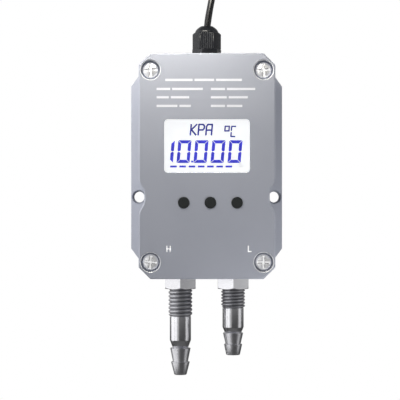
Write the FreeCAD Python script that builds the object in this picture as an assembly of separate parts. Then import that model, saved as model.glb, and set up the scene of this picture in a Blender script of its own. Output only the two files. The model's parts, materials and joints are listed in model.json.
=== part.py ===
"""Wall-mounted differential pressure transmitter in a die-cast housing.

Millimetres. +Z is up, the cover faces -Y and +X is to the right of someone facing the cover.
The origin is on the wall plane, midway between the two mounting holes, so the housing is at y <= 0.
"""
import FreeCAD
import Part

import math
import os

Vector = FreeCAD.Vector
LEFT, RIGHT = -1, 1

# ---- Driving dimensions -------------------------------------------------------------------------

# Housing outline, shared by the base and the cover
HOUSING_WIDTH = 60.5
HOUSING_HEIGHT = 100.0
BASE_DEPTH = 42.0
COVER_DEPTH = 8.0
CORNER_CHAMFER = 5.2
CORNER_ROUND = 0.8
HOUSING_TOP = 63.6              # above the mounting holes
BASE_DRAFT = 0.6                # how much each side closes in towards the wall
WALL = 3.0
BACK_WALL = 3.5
COVER_PLATE = 3.0
COVER_EDGE_BEVEL = 0.5
BACK_RECESS = 0.6
BACK_RIM = 9.0

# Side notches that let a driver reach the mounting screws
NOTCH_DEPTH = 2.5
NOTCH_FLAT = 5.2
NOTCH_RAMP = 4.2                # length of each sloping end
NOTCH_ROUND = 6.0

# Mounting flanges along both sides of the base
FLANGE_REACH = 5.05             # beyond the housing side
FLANGE_EDGE = 11.5              # thickness at the outer edge
FLANGE_RISE = 3.5               # extra thickness beside the housing
FLANGE_TOP_DROP = 11.9          # outer edge starts this far below the housing's top
FLANGE_BOTTOM_RISE = 12.3       # and ends this far above its bottom
FLANGE_END_SLOPE = 1.32         # height gained per unit of width along the bevelled ends
FLANGE_EDGE_ROUND = 0.6
MOUNT_OUTSET = 1.45             # hole axes beyond the housing's sides
MOUNT_HOLE_R = 2.6
MOUNT_SPOT_R = 3.15
MOUNT_SEAT = 10.5               # from the wall to the face the screw head bears on

# Cover screws, M3.5 pan head
SCREW_INSET_X = 5.2             # from the housing side
SCREW_INSET_Z = 7.45            # from the housing top and bottom
SCREW_BOSS_R = 4.8
SCREW_R = 1.75
SCREW_HEAD_R = 3.5
SCREW_HEAD_HEIGHT = 2.5
SCREW_CROWN = 1.2               # bevel round the head
SCREW_LENGTH = 18.0             # below the head
COUNTERBORE_R = 4.6
COUNTERBORE_DEPTH = 3.5
CROSS_RECESS_WIDTH = 1.1
CROSS_RECESS_LENGTH = 4.0
CROSS_RECESS_DEPTH = 1.4

# Cover gasket
GASKET_WIDTH = 1.2
GASKET_DEPTH = 1.3
GASKET_INSET = 0.9              # from the cavity to the gasket's inner edge

# Window and display
WINDOW_WIDTH = 38.1
WINDOW_HEIGHT = 23.8
WINDOW_ROUND = 1.8
WINDOW_BELOW_TOP = 41.05        # window centre below the housing's top
WINDOW_SINK = 0.3               # clear plate below the cover's face
WINDOW_LIP = 2.2                # how far the clear plate's flange laps the cover
WINDOW_FLANGE = 1.0
WINDOW_SEAL_THICKNESS = 0.3
LCD_MARGIN = 1.6                # glass beyond the window opening on each side
LCD_THICKNESS = 2.8
LCD_GAP = 0.3                   # between clear plate and glass
BACKLIGHT_THICKNESS = 3.0
BEZEL_WALL = 0.8

# Display board
BOARD_THICKNESS = 1.6
BOARD_ROUND = 1.0
DISPLAY_BOARD_WIDTH = 47.0
DISPLAY_BOARD_TOP = 20.5        # below the housing's top
DISPLAY_BOARD_HEIGHT = 53.0
DISPLAY_POST_R = 2.4
DISPLAY_POST_INSET = 2.9        # post axis from the board's edges

# Buttons
BUTTON_R = 2.5
BUTTON_PITCH = 11.8
BUTTON_OFFSET = 1.5             # middle button to the right of the centre line
BUTTON_BELOW_TOP = 66.2
BUTTON_PROUD = 0.35
BUTTON_TRAVEL = 0.6
BUTTON_FLANGE_R = 3.3
BUTTON_FLANGE = 0.8
BUTTON_STEM_R = 1.5
BUTTON_CHAMFER = 0.15
SWITCH_SIDE = 6.0
SWITCH_HEIGHT = 3.5
SWITCH_WELL_DEPTH = 2.0
SWITCH_ROUND = 0.5

# Main board
MAIN_BOARD_WIDTH = 42.0
MAIN_BOARD_HEIGHT = 58.0
MAIN_BOARD_BELOW_TOP = 14.0
MAIN_BOARD_STANDOFF = 5.5       # from the housing's back wall
MAIN_POST_R = 3.0
MAIN_POST_INSET = 3.6
SMALL_SCREW_R = 1.25
SMALL_SCREW_HEAD_R = 2.25
SMALL_SCREW_HEAD_HEIGHT = 1.7
SMALL_SCREW_GRIP = 4.0          # how far a small screw enters its post
SMALL_SCREW_TIP_GAP = 0.3

# Sensor, terminal block, connectors
SENSOR_WIDTH = 20.0
SENSOR_HEIGHT = 17.0
SENSOR_THICKNESS = 9.0
SENSOR_ABOVE_PORTS = 37.0       # sensor's lower face above the housing's bottom
SENSOR_ROUND = 1.0
SENSOR_LID_STEP = 2.0
SENSOR_LID_RISE = 1.8
SENSOR_PORT_SPACING = 10.0
SENSOR_PORT_HEIGHT = 5.5        # port axes in front of the board
TERMINAL_PITCH = 5.0
TERMINAL_HEIGHT = 8.5
TERMINAL_THICKNESS = 10.0
TERMINAL_BELOW_TOP = 25.0
TERMINAL_SCREW_R = 1.7
TERMINAL_SCREW_SINK = 0.3       # heads below the block's front
TERMINAL_SCREW_DEPTH = 2.5
TERMINAL_SLOT_WIDTH = 0.6
TERMINAL_SLOT_DEPTH = 0.6
TERMINAL_WIRE_DEPTH = 5.0
CONNECTOR_WIDTH = 9.0
CONNECTOR_HEIGHT = 4.5
CONNECTOR_THICKNESS = 3.2
CONNECTOR_X = -15.5
CONNECTOR_BELOW_TOP = 33.0
RIBBON_THICKNESS = 0.5
RIBBON_BOW = 0.35               # share of its span that the ribbon hangs down

# Pressure ports
PORT_INSET = 18.15              # port axes from the housing's sides
PORT_BEHIND_FACE = 26.0         # port and gland axes behind the cover's face
THREAD_R = 5.45
PORT_BORE_R = 1.75
PORT_NUT_FLATS = 14.0
PORT_NUT_HEIGHT = 5.7
PORT_NUT_INNER_HEIGHT = 4.0
PORT_SEAL_THICKNESS = 1.0
PORT_SEAL_RIM = 1.6
SHANK_R = 4.875
STEM_R = 1.95                   # inner stems that the silicone tubes push over
STEM_LENGTH = 6.0
STEM_BORE_R = 1.1
PORT_HIGH = dict(thread=12.6, shank=11.1, taper=3.5, neck_r=3.45,
                 barb=6.3, barb_r=4.65, barb_foot_r=3.45, tip=6.0, tip_top_r=4.25, tip_r=2.8)
PORT_LOW = dict(thread=8.7, shank=9.0, taper=2.5, neck_r=3.75,
                barb=5.2, barb_r=4.6, barb_foot_r=3.5, tip=5.0, tip_top_r=4.15, tip_r=3.1)
THREAD_BEVEL = 0.45
BARB_LAND = 0.15                # height of each barb's sharp shoulder
THREAD_OVERRUN = 1.0            # thread beyond the inner nut

# Silicone tubes
TUBE_R = 3.0
TUBE_WALL = 1.0
TUBE_STRAIGHT = 0.42            # share of the rise that each end keeps straight

# Cable gland
GLAND_THREAD_R = 4.0
GLAND_FLANGE_FLATS = 11.9
GLAND_FLANGE_HEIGHT = 4.1
GLAND_FLANGE_TURN = 12.0        # degrees, where the body's hexagon happens to stop
GLAND_NUT_FLATS = 11.5
GLAND_NUT_HEIGHT = 7.9
GLAND_RIB_PITCH = 0.95
GLAND_RIB_DEPTH = 0.18
GLAND_DOME_R = 5.3
GLAND_DOME_HEIGHT = 2.7
# Dome profile as shares of its height and of the way in from mouth to shoulder
GLAND_DOME_STEPS = [(0.0, 1.0), (0.22, 0.93), (0.47, 0.75), (0.72, 0.46), (0.9, 0.18), (1.0, 0.0)]
GLAND_SEAL_GAP = 0.5            # seal's top below the shoulder
GLAND_MOUTH_R = 2.7
GLAND_WASHER_THICKNESS = 0.8
GLAND_LOCK_FLATS = 11.0
GLAND_LOCK_HEIGHT = 3.2
GLAND_THREAD_OVERRUN = 1.2
GLAND_WALL = 1.2
GLAND_COLLAR_HEIGHT = 4.75      # sleeve that holds the seal, above the flange
GLAND_BEVEL_SLOPE = 0.8         # height per unit of width at the nut's shoulder

# Cable
CABLE_R = 1.5
CORE_R = 0.55
CORE_OFFSET = 0.75              # core axes from the sheath's axis
CORE_SPREAD = 0.12
CORE_STRAIGHT = 0.3             # share of the drop that each end of a core keeps straight
CORE_GRIP = 3.0                 # how far a core enters the terminal block
FERRULE_R = 0.7
LEAD_IN_DROP = 2.0              # sheath below the gland's inner end
CABLE_START = 5.0               # free run starts this far below the gland's mouth
COIL_MID_R = 16.5
COIL_SECTION = 9.6              # thickness of the bundle
COIL_SECTION_BEVEL = 2.4
TIE_WIDTH = 2.5
TIE_THICKNESS = 0.8
TIE_HEAD_SIDE = 0.6             # head beyond the strap on each side
TIE_HEAD_LENGTH = 4.4
TIE_HEAD_RISE = 1.8
TIE_SLACK = 0.3

# Clearances
THREAD_CLEARANCE = 0.05
JOINT_DEPTH = 0.5               # how far shapes that become one piece reach into each other
SLIDE_CLEARANCE = 0.08
TIE_CLEARANCE = 0.02
FIT_CLEARANCE = 0.1

# ---- Worked out ---------------------------------------------------------------------------------

HALF_WIDTH = HOUSING_WIDTH / 2
MOUNT_X = HALF_WIDTH + MOUNT_OUTSET
HOUSING_BOTTOM = HOUSING_TOP - HOUSING_HEIGHT
FACE_Y = -(BASE_DEPTH + COVER_DEPTH)
RIM_Y = -BASE_DEPTH
PLATE_BACK_Y = FACE_Y + COVER_PLATE
BACK_INNER_Y = -BACK_WALL
SCREW_SPOTS = [(side * (HALF_WIDTH - SCREW_INSET_X), z)
               for side in (LEFT, RIGHT)
               for z in (HOUSING_TOP - SCREW_INSET_Z, HOUSING_BOTTOM + SCREW_INSET_Z)]
WINDOW_Z = HOUSING_TOP - WINDOW_BELOW_TOP
BUTTON_Z = HOUSING_TOP - BUTTON_BELOW_TOP
BUTTONS = {"left": BUTTON_OFFSET - BUTTON_PITCH,
           "centre": BUTTON_OFFSET,
           "right": BUTTON_OFFSET + BUTTON_PITCH}

GLASS_BACK_Y = PLATE_BACK_Y + WINDOW_SEAL_THICKNESS + WINDOW_FLANGE
LCD_FRONT_Y = GLASS_BACK_Y + LCD_GAP
LCD_BACK_Y = LCD_FRONT_Y + LCD_THICKNESS
DISPLAY_BOARD_Y = LCD_BACK_Y + BACKLIGHT_THICKNESS      # the board's front face
DISPLAY_BOARD_BACK_Y = DISPLAY_BOARD_Y + BOARD_THICKNESS
DISPLAY_BOARD_Z = HOUSING_TOP - DISPLAY_BOARD_TOP - DISPLAY_BOARD_HEIGHT / 2
DISPLAY_POSTS = [(side * (DISPLAY_BOARD_WIDTH / 2 - DISPLAY_POST_INSET),
                  DISPLAY_BOARD_Z + end * (DISPLAY_BOARD_HEIGHT / 2 - DISPLAY_POST_INSET))
                 for side in (LEFT, RIGHT) for end in (-1, 1)]

MAIN_BOARD_BACK_Y = BACK_INNER_Y - MAIN_BOARD_STANDOFF
MAIN_BOARD_Y = MAIN_BOARD_BACK_Y - BOARD_THICKNESS      # the board's front face
MAIN_BOARD_Z = HOUSING_TOP - MAIN_BOARD_BELOW_TOP - MAIN_BOARD_HEIGHT / 2
MAIN_POSTS = [(side * (MAIN_BOARD_WIDTH / 2 - MAIN_POST_INSET),
               MAIN_BOARD_Z + end * (MAIN_BOARD_HEIGHT / 2 - MAIN_POST_INSET))
              for side in (LEFT, RIGHT) for end in (-1, 1)]

PORT_Y = FACE_Y + PORT_BEHIND_FACE
PORT_X = {"high": PORT_INSET - HALF_WIDTH, "low": HALF_WIDTH - PORT_INSET}
PORT_INNER_Z = (HOUSING_BOTTOM + WALL + PORT_SEAL_THICKNESS + PORT_NUT_INNER_HEIGHT
                + THREAD_OVERRUN)
SENSOR_Z = HOUSING_BOTTOM + SENSOR_ABOVE_PORTS
SENSOR_PORT_Y = MAIN_BOARD_Y - SENSOR_PORT_HEIGHT
TERMINAL_TOP_Z = HOUSING_TOP - TERMINAL_BELOW_TOP
TERMINAL_Y = MAIN_BOARD_Y - TERMINAL_THICKNESS / 2
CONNECTOR_Z = HOUSING_TOP - CONNECTOR_BELOW_TOP

GLAND_NUT_Z = HOUSING_TOP + GLAND_FLANGE_HEIGHT
GLAND_SHOULDER_Z = GLAND_NUT_Z + GLAND_NUT_HEIGHT
GLAND_MOUTH_Z = GLAND_SHOULDER_Z + GLAND_DOME_HEIGHT
GLAND_INNER_Z = (HOUSING_TOP - WALL - GLAND_WASHER_THICKNESS - GLAND_LOCK_HEIGHT
                 - GLAND_THREAD_OVERRUN)
COLLAR_TOP_Z = GLAND_NUT_Z + GLAND_COLLAR_HEIGHT
CABLE_BORE_R = CABLE_R + FIT_CLEARANCE
RUN_START_Z = GLAND_MOUTH_Z - CABLE_START
LEAD_IN_END_Z = GLAND_INNER_Z - LEAD_IN_DROP


# ---- Helpers ------------------------------------------------------------------------------------

def rounded_wire(points, radii, y):
    """Closed outline in the XZ plane at depth y, with each corner rounded to its own radius."""
    corners = [Vector(x, y, z) for x, z in points]
    edges, starts, ends, arcs = [], [], [], []
    count = len(corners)
    for i, (corner, radius) in enumerate(zip(corners, radii)):
        before = (corners[i - 1] - corner).normalize()
        after = (corners[(i + 1) % count] - corner).normalize()
        if radius <= 0:
            starts.append(corner)
            ends.append(corner)
            arcs.append(None)
            continue
        half = before.getAngle(after) / 2
        reach = radius / math.tan(half)
        middle = (before + after).normalize()
        centre = corner + middle * (radius / math.sin(half))
        starts.append(corner + before * reach)
        ends.append(corner + after * reach)
        arcs.append(Part.Arc(starts[-1], centre - middle * radius, ends[-1]).toShape())
    for i in range(count):
        if arcs[i]:
            edges.append(arcs[i])
        edges.append(Part.LineSegment(ends[i], starts[(i + 1) % count]).toShape())
    return Part.Wire(edges)


def rectangle(width, height, x, z, radius, y):
    """Rounded rectangle in the XZ plane, centred on (x, z)."""
    half_w, half_h = width / 2, height / 2
    points = [(x + half_w, z + half_h), (x + half_w, z - half_h),
              (x - half_w, z - half_h), (x - half_w, z + half_h)]
    return rounded_wire(points, [radius] * 4, y)


def slab(wire, y_end):
    """Solid from an XZ outline to depth y_end."""
    face = wire if wire.ShapeType == "Face" else Part.Face(wire)
    return face.extrude(Vector(0, y_end - face.CenterOfMass.y, 0))


def plate(width, height, x, z, y_front, y_back, radius=0.0):
    return slab(rectangle(width, height, x, z, radius, y_front), y_back)


def block(x0, x1, y0, y1, z0, z1):
    return Part.makeBox(x1 - x0, y1 - y0, z1 - z0, Vector(x0, y0, z0))


def rod_y(radius, x, z, y0, y1):
    """Cylinder along Y from y0 to y1."""
    return Part.makeCylinder(radius, y1 - y0, Vector(x, y0, z), Vector(0, 1, 0))


def rod_z(radius, x, y, z0, z1):
    """Cylinder along Z from z0 to z1."""
    return Part.makeCylinder(radius, z1 - z0, Vector(x, y, z0), Vector(0, 0, 1))


def turned(profile, x, y):
    """Solid of revolution about a vertical axis from (radius, z) points."""
    points = [Vector(x + r, y, z) for r, z in profile]
    face = Part.Face(Part.makePolygon(points + points[:1]))
    return face.revolve(Vector(x, y, 0), Vector(0, 0, 1), 360)


def hexagon(flats, x, y, z0, z1, turn=0.0):
    """Hexagonal prism about a vertical axis; at no turn a flat faces -Y."""
    radius = flats / math.sqrt(3)
    points = [Vector(x + radius * math.cos(math.radians(60 * k + turn)),
                     y + radius * math.sin(math.radians(60 * k + turn)), z0) for k in range(6)]
    return Part.Face(Part.makePolygon(points + points[:1])).extrude(Vector(0, 0, z1 - z0))


def hexagon_nut(flats, hole_r, x, y, z0, z1, turn=0.0, chamfer_ends=(True, True)):
    """Hexagonal nut with the corners of its chosen ends turned off at 30 degrees."""
    corner_r = flats / math.sqrt(3)
    drop = (corner_r - flats / 2) * math.tan(math.radians(30))
    low = drop if chamfer_ends[0] else 0.0
    high = drop if chamfer_ends[1] else 0.0
    envelope = turned([(0, z0), (corner_r - low / math.tan(math.radians(30)), z0),
                       (corner_r, z0 + low + 1e-3), (corner_r, z1 - high - 1e-3),
                       (corner_r - high / math.tan(math.radians(30)), z1), (0, z1)], x, y)
    nut = hexagon(flats, x, y, z0, z1, turn).common(envelope)
    return nut.cut(rod_z(hole_r, x, y, z0 - 1, z1 + 1))


def bent_path(points):
    """Straight runs joined by tangent arcs, each as large as its two runs allow."""
    corners = [Vector(*p) for p in points]
    edges, at, radii = [], corners[0], []
    for before, corner, after in zip(corners, corners[1:], corners[2:]):
        back = before - corner
        ahead = after - corner
        reach = 0.45 * min(back.Length, ahead.Length)
        turn = math.pi - back.getAngle(ahead)
        radius = reach / math.tan(turn / 2)
        back.normalize()
        ahead.normalize()
        start, end = corner + back * reach, corner + ahead * reach
        inward = (back + ahead).normalize()
        middle = corner + inward * (radius / math.cos(turn / 2) - radius)
        edges.append(Part.LineSegment(at, start).toShape())
        edges.append(Part.Arc(start, middle, end).toShape())
        radii.append(radius)
        at = end
    edges.append(Part.LineSegment(at, corners[-1]).toShape())
    return Part.Wire(edges), radii


def tube(points, radius, name):
    """Twelve-sided solid along a bent path, with the section area of a round one.

    It prints its bends and compares its volume with a round tube's."""
    path, radii = bent_path(points)
    start = Vector(*points[0])
    along = (Vector(*points[1]) - start).normalize()
    side = along.cross(Vector(1, 0, 0)).normalize()
    up = along.cross(side)
    corner_r = radius * math.sqrt(math.pi / 3)
    angles = [math.radians(30 * k) for k in range(12)]
    corners = [start + (side * math.cos(a) + up * math.sin(a)) * corner_r for a in angles]
    solid = path.makePipe(Part.Face(Part.makePolygon(corners + corners[:1])))
    expected = math.pi * radius ** 2 * path.Length
    bends = ", ".join(f"{r:.1f}" for r in radii)
    print(f"{name}: length {path.Length:.1f}, bends {bends}, volume {solid.Volume / expected:.3f}")
    return solid


def group(solids):
    return Part.makeCompound(solids)


# ---- Housing ------------------------------------------------------------------------------------

def outline(inset, y):
    """Housing outline with chamfered corners and a notch beside each mounting hole.

    The inset draws the sides in; the notches stay where the mounting screws need them."""
    half = HALF_WIDTH - inset
    deep = HALF_WIDTH - NOTCH_DEPTH
    flat = NOTCH_FLAT / 2
    mouth = flat + NOTCH_RAMP
    right = [(half - CORNER_CHAMFER, HOUSING_TOP), (half, HOUSING_TOP - CORNER_CHAMFER),
             (half, mouth), (deep, flat), (deep, -flat), (half, -mouth),
             (half, HOUSING_BOTTOM + CORNER_CHAMFER), (half - CORNER_CHAMFER, HOUSING_BOTTOM)]
    radii = [CORNER_ROUND, CORNER_ROUND] + [NOTCH_ROUND] * 4 + [CORNER_ROUND, CORNER_ROUND]
    left = [(-x, z) for x, z in reversed(right)]
    return rounded_wire(right + left, radii + radii, y)


def cavity_face(y):
    """Inside of the walls, less the four screw bosses."""
    face = Part.Face(outline(0, y)).makeOffset2D(-WALL)
    for x, z in SCREW_SPOTS:
        boss = Part.Face(Part.Wire(Part.Circle(Vector(x, y, z), Vector(0, 1, 0),
                                               SCREW_BOSS_R).toShape()))
        face = face.cut(boss)
    return face.Faces[0]


def gasket_ring(y0, y1, clearance=0.0):
    """Band that runs in the cover's rim, inside the screws."""
    inner = cavity_face(y0).makeOffset2D(GASKET_INSET + clearance)
    outer = cavity_face(y0).makeOffset2D(GASKET_INSET + GASKET_WIDTH - clearance)
    return outer.cut(inner).Faces[0].extrude(Vector(0, y1 - y0, 0))


def flange(side):
    """One long mounting flange: bevelled ends, sloping front, rounded outer edge."""
    top = HOUSING_TOP - FLANGE_TOP_DROP
    bottom = HOUSING_BOTTOM + FLANGE_BOTTOM_RISE
    inner, outer = HALF_WIDTH - WALL, HALF_WIDTH + FLANGE_REACH
    drop = (outer - inner) * FLANGE_END_SLOPE
    wire = rounded_wire([(side * outer, top), (side * outer, bottom),
                         (side * inner, bottom - drop), (side * inner, top + drop)],
                        [FLANGE_EDGE_ROUND, FLANGE_EDGE_ROUND, 0, 0], 0)
    thick = FLANGE_EDGE + FLANGE_RISE
    solid = slab(wire, -thick - FLANGE_RISE)
    slope_run = FLANGE_REACH + NOTCH_DEPTH
    slope = FLANGE_RISE / slope_run
    wedge = [Vector(side * (outer + 1), -FLANGE_EDGE + slope, bottom - drop - 1),
             Vector(side * (inner - 1), -FLANGE_EDGE - slope * (outer - inner + 1),
                    bottom - drop - 1),
             Vector(side * (inner - 1), -2 * thick, bottom - drop - 1),
             Vector(side * (outer + 1), -2 * thick, bottom - drop - 1)]
    cutter = Part.Face(Part.makePolygon(wedge + wedge[:1])).extrude(
        Vector(0, 0, top - bottom + 2 * drop + 2))
    return solid.cut(cutter)


def housing_base():
    """Cast base: drafted walls, screw bosses, board posts, flanges and drilled walls."""
    body = Part.makeLoft([outline(BASE_DRAFT, 0), outline(0, RIM_Y)], True, True)
    flange_front = -FLANGE_EDGE - FLANGE_RISE
    for side in (LEFT, RIGHT):
        body = body.fuse(flange(side))
        x = side * MOUNT_X
        clear = side * (HALF_WIDTH + FLANGE_REACH + 1)
        body = body.cut(block(min(x, clear), max(x, clear), RIM_Y - 1, flange_front,
                              -MOUNT_SPOT_R, MOUNT_SPOT_R))
        body = body.cut(rod_y(MOUNT_SPOT_R, x, 0, RIM_Y - 1, -MOUNT_SEAT))
        body = body.cut(rod_y(MOUNT_HOLE_R, x, 0, -MOUNT_SEAT - 1, 1))
    body = body.cut(slab(cavity_face(RIM_Y), BACK_INNER_Y))
    for x, z in MAIN_POSTS:
        body = body.fuse(rod_y(MAIN_POST_R, x, z, MAIN_BOARD_BACK_Y,
                               BACK_INNER_Y + JOINT_DEPTH))
    for x, z in MAIN_POSTS:
        body = body.cut(rod_y(SMALL_SCREW_R + THREAD_CLEARANCE, x, z, MAIN_BOARD_BACK_Y - 1,
                              MAIN_BOARD_BACK_Y + SMALL_SCREW_GRIP))
    hole_end = FACE_Y + COUNTERBORE_DEPTH + SCREW_LENGTH + 1
    for x, z in SCREW_SPOTS:
        body = body.cut(rod_y(SCREW_R + THREAD_CLEARANCE, x, z, RIM_Y - 1, hole_end))
    for x in PORT_X.values():
        body = body.cut(rod_z(THREAD_R + THREAD_CLEARANCE, x, PORT_Y, HOUSING_BOTTOM - 1,
                              HOUSING_BOTTOM + WALL + 1))
    body = body.cut(rod_z(GLAND_THREAD_R + THREAD_CLEARANCE, 0, PORT_Y,
                          HOUSING_TOP - WALL - 1, HOUSING_TOP + 1))
    middle = HOUSING_TOP - HOUSING_HEIGHT / 2
    body = body.cut(plate(HOUSING_WIDTH - 2 * BACK_RIM, HOUSING_HEIGHT - 2 * BACK_RIM, 0, middle,
                          -BACK_RECESS, 1, CORNER_CHAMFER))
    return body.removeSplitter()


def front_cover():
    """Cast cover: bevelled front edge, counterbores, window and button openings, gasket groove."""
    body = slab(outline(0, RIM_Y), FACE_Y)
    front = [edge for edge in body.Edges
             if all(abs(v.Point.y - FACE_Y) < 1e-6 for v in edge.Vertexes)]
    body = body.makeChamfer(COVER_EDGE_BEVEL, front)
    body = body.cut(slab(cavity_face(RIM_Y), PLATE_BACK_Y))
    body = body.cut(gasket_ring(RIM_Y, RIM_Y - GASKET_DEPTH))
    for x, z in DISPLAY_POSTS:
        body = body.fuse(rod_y(DISPLAY_POST_R, x, z, PLATE_BACK_Y - JOINT_DEPTH,
                               DISPLAY_BOARD_Y))
    for x, z in DISPLAY_POSTS:
        body = body.cut(rod_y(SMALL_SCREW_R + THREAD_CLEARANCE, x, z,
                              DISPLAY_BOARD_Y - SMALL_SCREW_GRIP, DISPLAY_BOARD_Y + 1))
    for x, z in SCREW_SPOTS:
        body = body.cut(rod_y(COUNTERBORE_R, x, z, FACE_Y - 1, FACE_Y + COUNTERBORE_DEPTH))
        body = body.cut(rod_y(SCREW_R + FIT_CLEARANCE, x, z, FACE_Y, RIM_Y + 1))
    body = body.cut(plate(WINDOW_WIDTH, WINDOW_HEIGHT, 0, WINDOW_Z, FACE_Y - 1,
                          PLATE_BACK_Y + 1, WINDOW_ROUND))
    for x in BUTTONS.values():
        body = body.cut(rod_y(BUTTON_R + SLIDE_CLEARANCE, x, BUTTON_Z, FACE_Y - 1,
                              PLATE_BACK_Y + 1))
    return body.removeSplitter()


def cover_screw(x, z):
    """Pan-head cross-recess screw sitting in its counterbore."""
    seat = FACE_Y + COUNTERBORE_DEPTH
    top = seat - SCREW_HEAD_HEIGHT
    rim = top + SCREW_CROWN
    head = rod_y(SCREW_HEAD_R, x, z, rim, seat).fuse(
        Part.makeCone(SCREW_HEAD_R - SCREW_CROWN, SCREW_HEAD_R, SCREW_CROWN, Vector(x, top, z),
                      Vector(0, 1, 0)))
    long, wide = CROSS_RECESS_LENGTH / 2, CROSS_RECESS_WIDTH / 2
    for half_x, half_z in ((long, wide), (wide, long)):
        head = head.cut(block(x - half_x, x + half_x, top - 1, top + CROSS_RECESS_DEPTH,
                              z - half_z, z + half_z))
    shank = rod_y(SCREW_R, x, z, seat - JOINT_DEPTH, seat + SCREW_LENGTH)
    return head.fuse(shank).removeSplitter()


def small_screw(x, z, seat, into):
    """Board screw; 'into' is the direction of its shank along Y."""
    shank_end = seat + into * (BOARD_THICKNESS + SMALL_SCREW_GRIP - SMALL_SCREW_TIP_GAP)
    head_top = seat - into * SMALL_SCREW_HEAD_HEIGHT
    head = rod_y(SMALL_SCREW_HEAD_R, x, z, min(seat, head_top), max(seat, head_top))
    return head.fuse(rod_y(SMALL_SCREW_R, x, z, min(seat, shank_end),
                           max(seat, shank_end))).removeSplitter()


# ---- Window, display and buttons ----------------------------------------------------------------

def display_window():
    """Clear plate: a raised pane fills the opening, its flange is glued behind the cover."""
    pane = plate(WINDOW_WIDTH - 2 * FIT_CLEARANCE, WINDOW_HEIGHT - 2 * FIT_CLEARANCE, 0, WINDOW_Z,
                 FACE_Y + WINDOW_SINK, GLASS_BACK_Y, WINDOW_ROUND - FIT_CLEARANCE)
    rear = plate(WINDOW_WIDTH + 2 * WINDOW_LIP, WINDOW_HEIGHT + 2 * WINDOW_LIP, 0, WINDOW_Z,
                 PLATE_BACK_Y + WINDOW_SEAL_THICKNESS, GLASS_BACK_Y, WINDOW_ROUND)
    return pane.fuse(rear).removeSplitter()


def window_seal():
    """Adhesive frame between the cover and the clear plate's flange."""
    back = PLATE_BACK_Y + WINDOW_SEAL_THICKNESS
    frame = plate(WINDOW_WIDTH + 2 * WINDOW_LIP, WINDOW_HEIGHT + 2 * WINDOW_LIP, 0, WINDOW_Z,
                  PLATE_BACK_Y, back, WINDOW_ROUND)
    return frame.cut(plate(WINDOW_WIDTH, WINDOW_HEIGHT, 0, WINDOW_Z, PLATE_BACK_Y - 1, back + 1,
                           WINDOW_ROUND))


LCD_WIDTH = WINDOW_WIDTH + 2 * LCD_MARGIN
LCD_HEIGHT = WINDOW_HEIGHT + 2 * LCD_MARGIN


def lcd_bezel():
    """Folded frame round the glass and the backlight, standing on the board."""
    frame = plate(LCD_WIDTH + 2 * BEZEL_WALL, LCD_HEIGHT + 2 * BEZEL_WALL, 0, WINDOW_Z,
                  LCD_FRONT_Y, DISPLAY_BOARD_Y, BEZEL_WALL)
    return frame.cut(plate(LCD_WIDTH + 2 * THREAD_CLEARANCE, LCD_HEIGHT + 2 * THREAD_CLEARANCE, 0,
                           WINDOW_Z, LCD_FRONT_Y - 1, DISPLAY_BOARD_Y + 1))


def display_board():
    board = plate(DISPLAY_BOARD_WIDTH, DISPLAY_BOARD_HEIGHT, 0, DISPLAY_BOARD_Z, DISPLAY_BOARD_Y,
                  DISPLAY_BOARD_BACK_Y, BOARD_ROUND)
    for x, z in DISPLAY_POSTS:
        board = board.cut(rod_y(SMALL_SCREW_R + THREAD_CLEARANCE, x, z, DISPLAY_BOARD_Y - 1,
                                DISPLAY_BOARD_BACK_Y + 1))
    return board


def button(x):
    """Cap, retaining flange behind the cover and stem that reaches into its switch."""
    front = FACE_Y - BUTTON_PROUD
    flange_front = PLATE_BACK_Y + THREAD_CLEARANCE
    flange_back = flange_front + BUTTON_FLANGE
    cap = rod_y(BUTTON_R, x, BUTTON_Z, front, flange_back)
    rim = [e for e in cap.Edges if abs(e.BoundBox.YMax - front) < 1e-6]
    cap = cap.makeChamfer(BUTTON_CHAMFER, rim)
    skirt = rod_y(BUTTON_FLANGE_R, x, BUTTON_Z, flange_front, flange_back)
    well_floor = DISPLAY_BOARD_Y - SWITCH_HEIGHT + SWITCH_WELL_DEPTH
    tip = well_floor - BUTTON_TRAVEL - SLIDE_CLEARANCE
    stem = rod_y(BUTTON_STEM_R, x, BUTTON_Z, front + 1, tip)
    return cap.fuse(skirt).fuse(stem).removeSplitter()


def switch(x):
    """Tact switch body, with the well that its button's stem works in."""
    top = DISPLAY_BOARD_Y - SWITCH_HEIGHT
    body = plate(SWITCH_SIDE, SWITCH_SIDE, x, BUTTON_Z, top, DISPLAY_BOARD_Y,
                 SWITCH_ROUND)
    return body.cut(rod_y(BUTTON_STEM_R + SLIDE_CLEARANCE, x, BUTTON_Z, top - 1,
                          top + SWITCH_WELL_DEPTH))


# ---- Main board, sensor and wiring --------------------------------------------------------------

def main_board():
    board = plate(MAIN_BOARD_WIDTH, MAIN_BOARD_HEIGHT, 0, MAIN_BOARD_Z, MAIN_BOARD_Y,
                  MAIN_BOARD_BACK_Y, BOARD_ROUND)
    for x, z in MAIN_POSTS:
        board = board.cut(rod_y(SMALL_SCREW_R + THREAD_CLEARANCE, x, z, MAIN_BOARD_Y - 1,
                                MAIN_BOARD_BACK_Y + 1))
    return board


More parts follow.
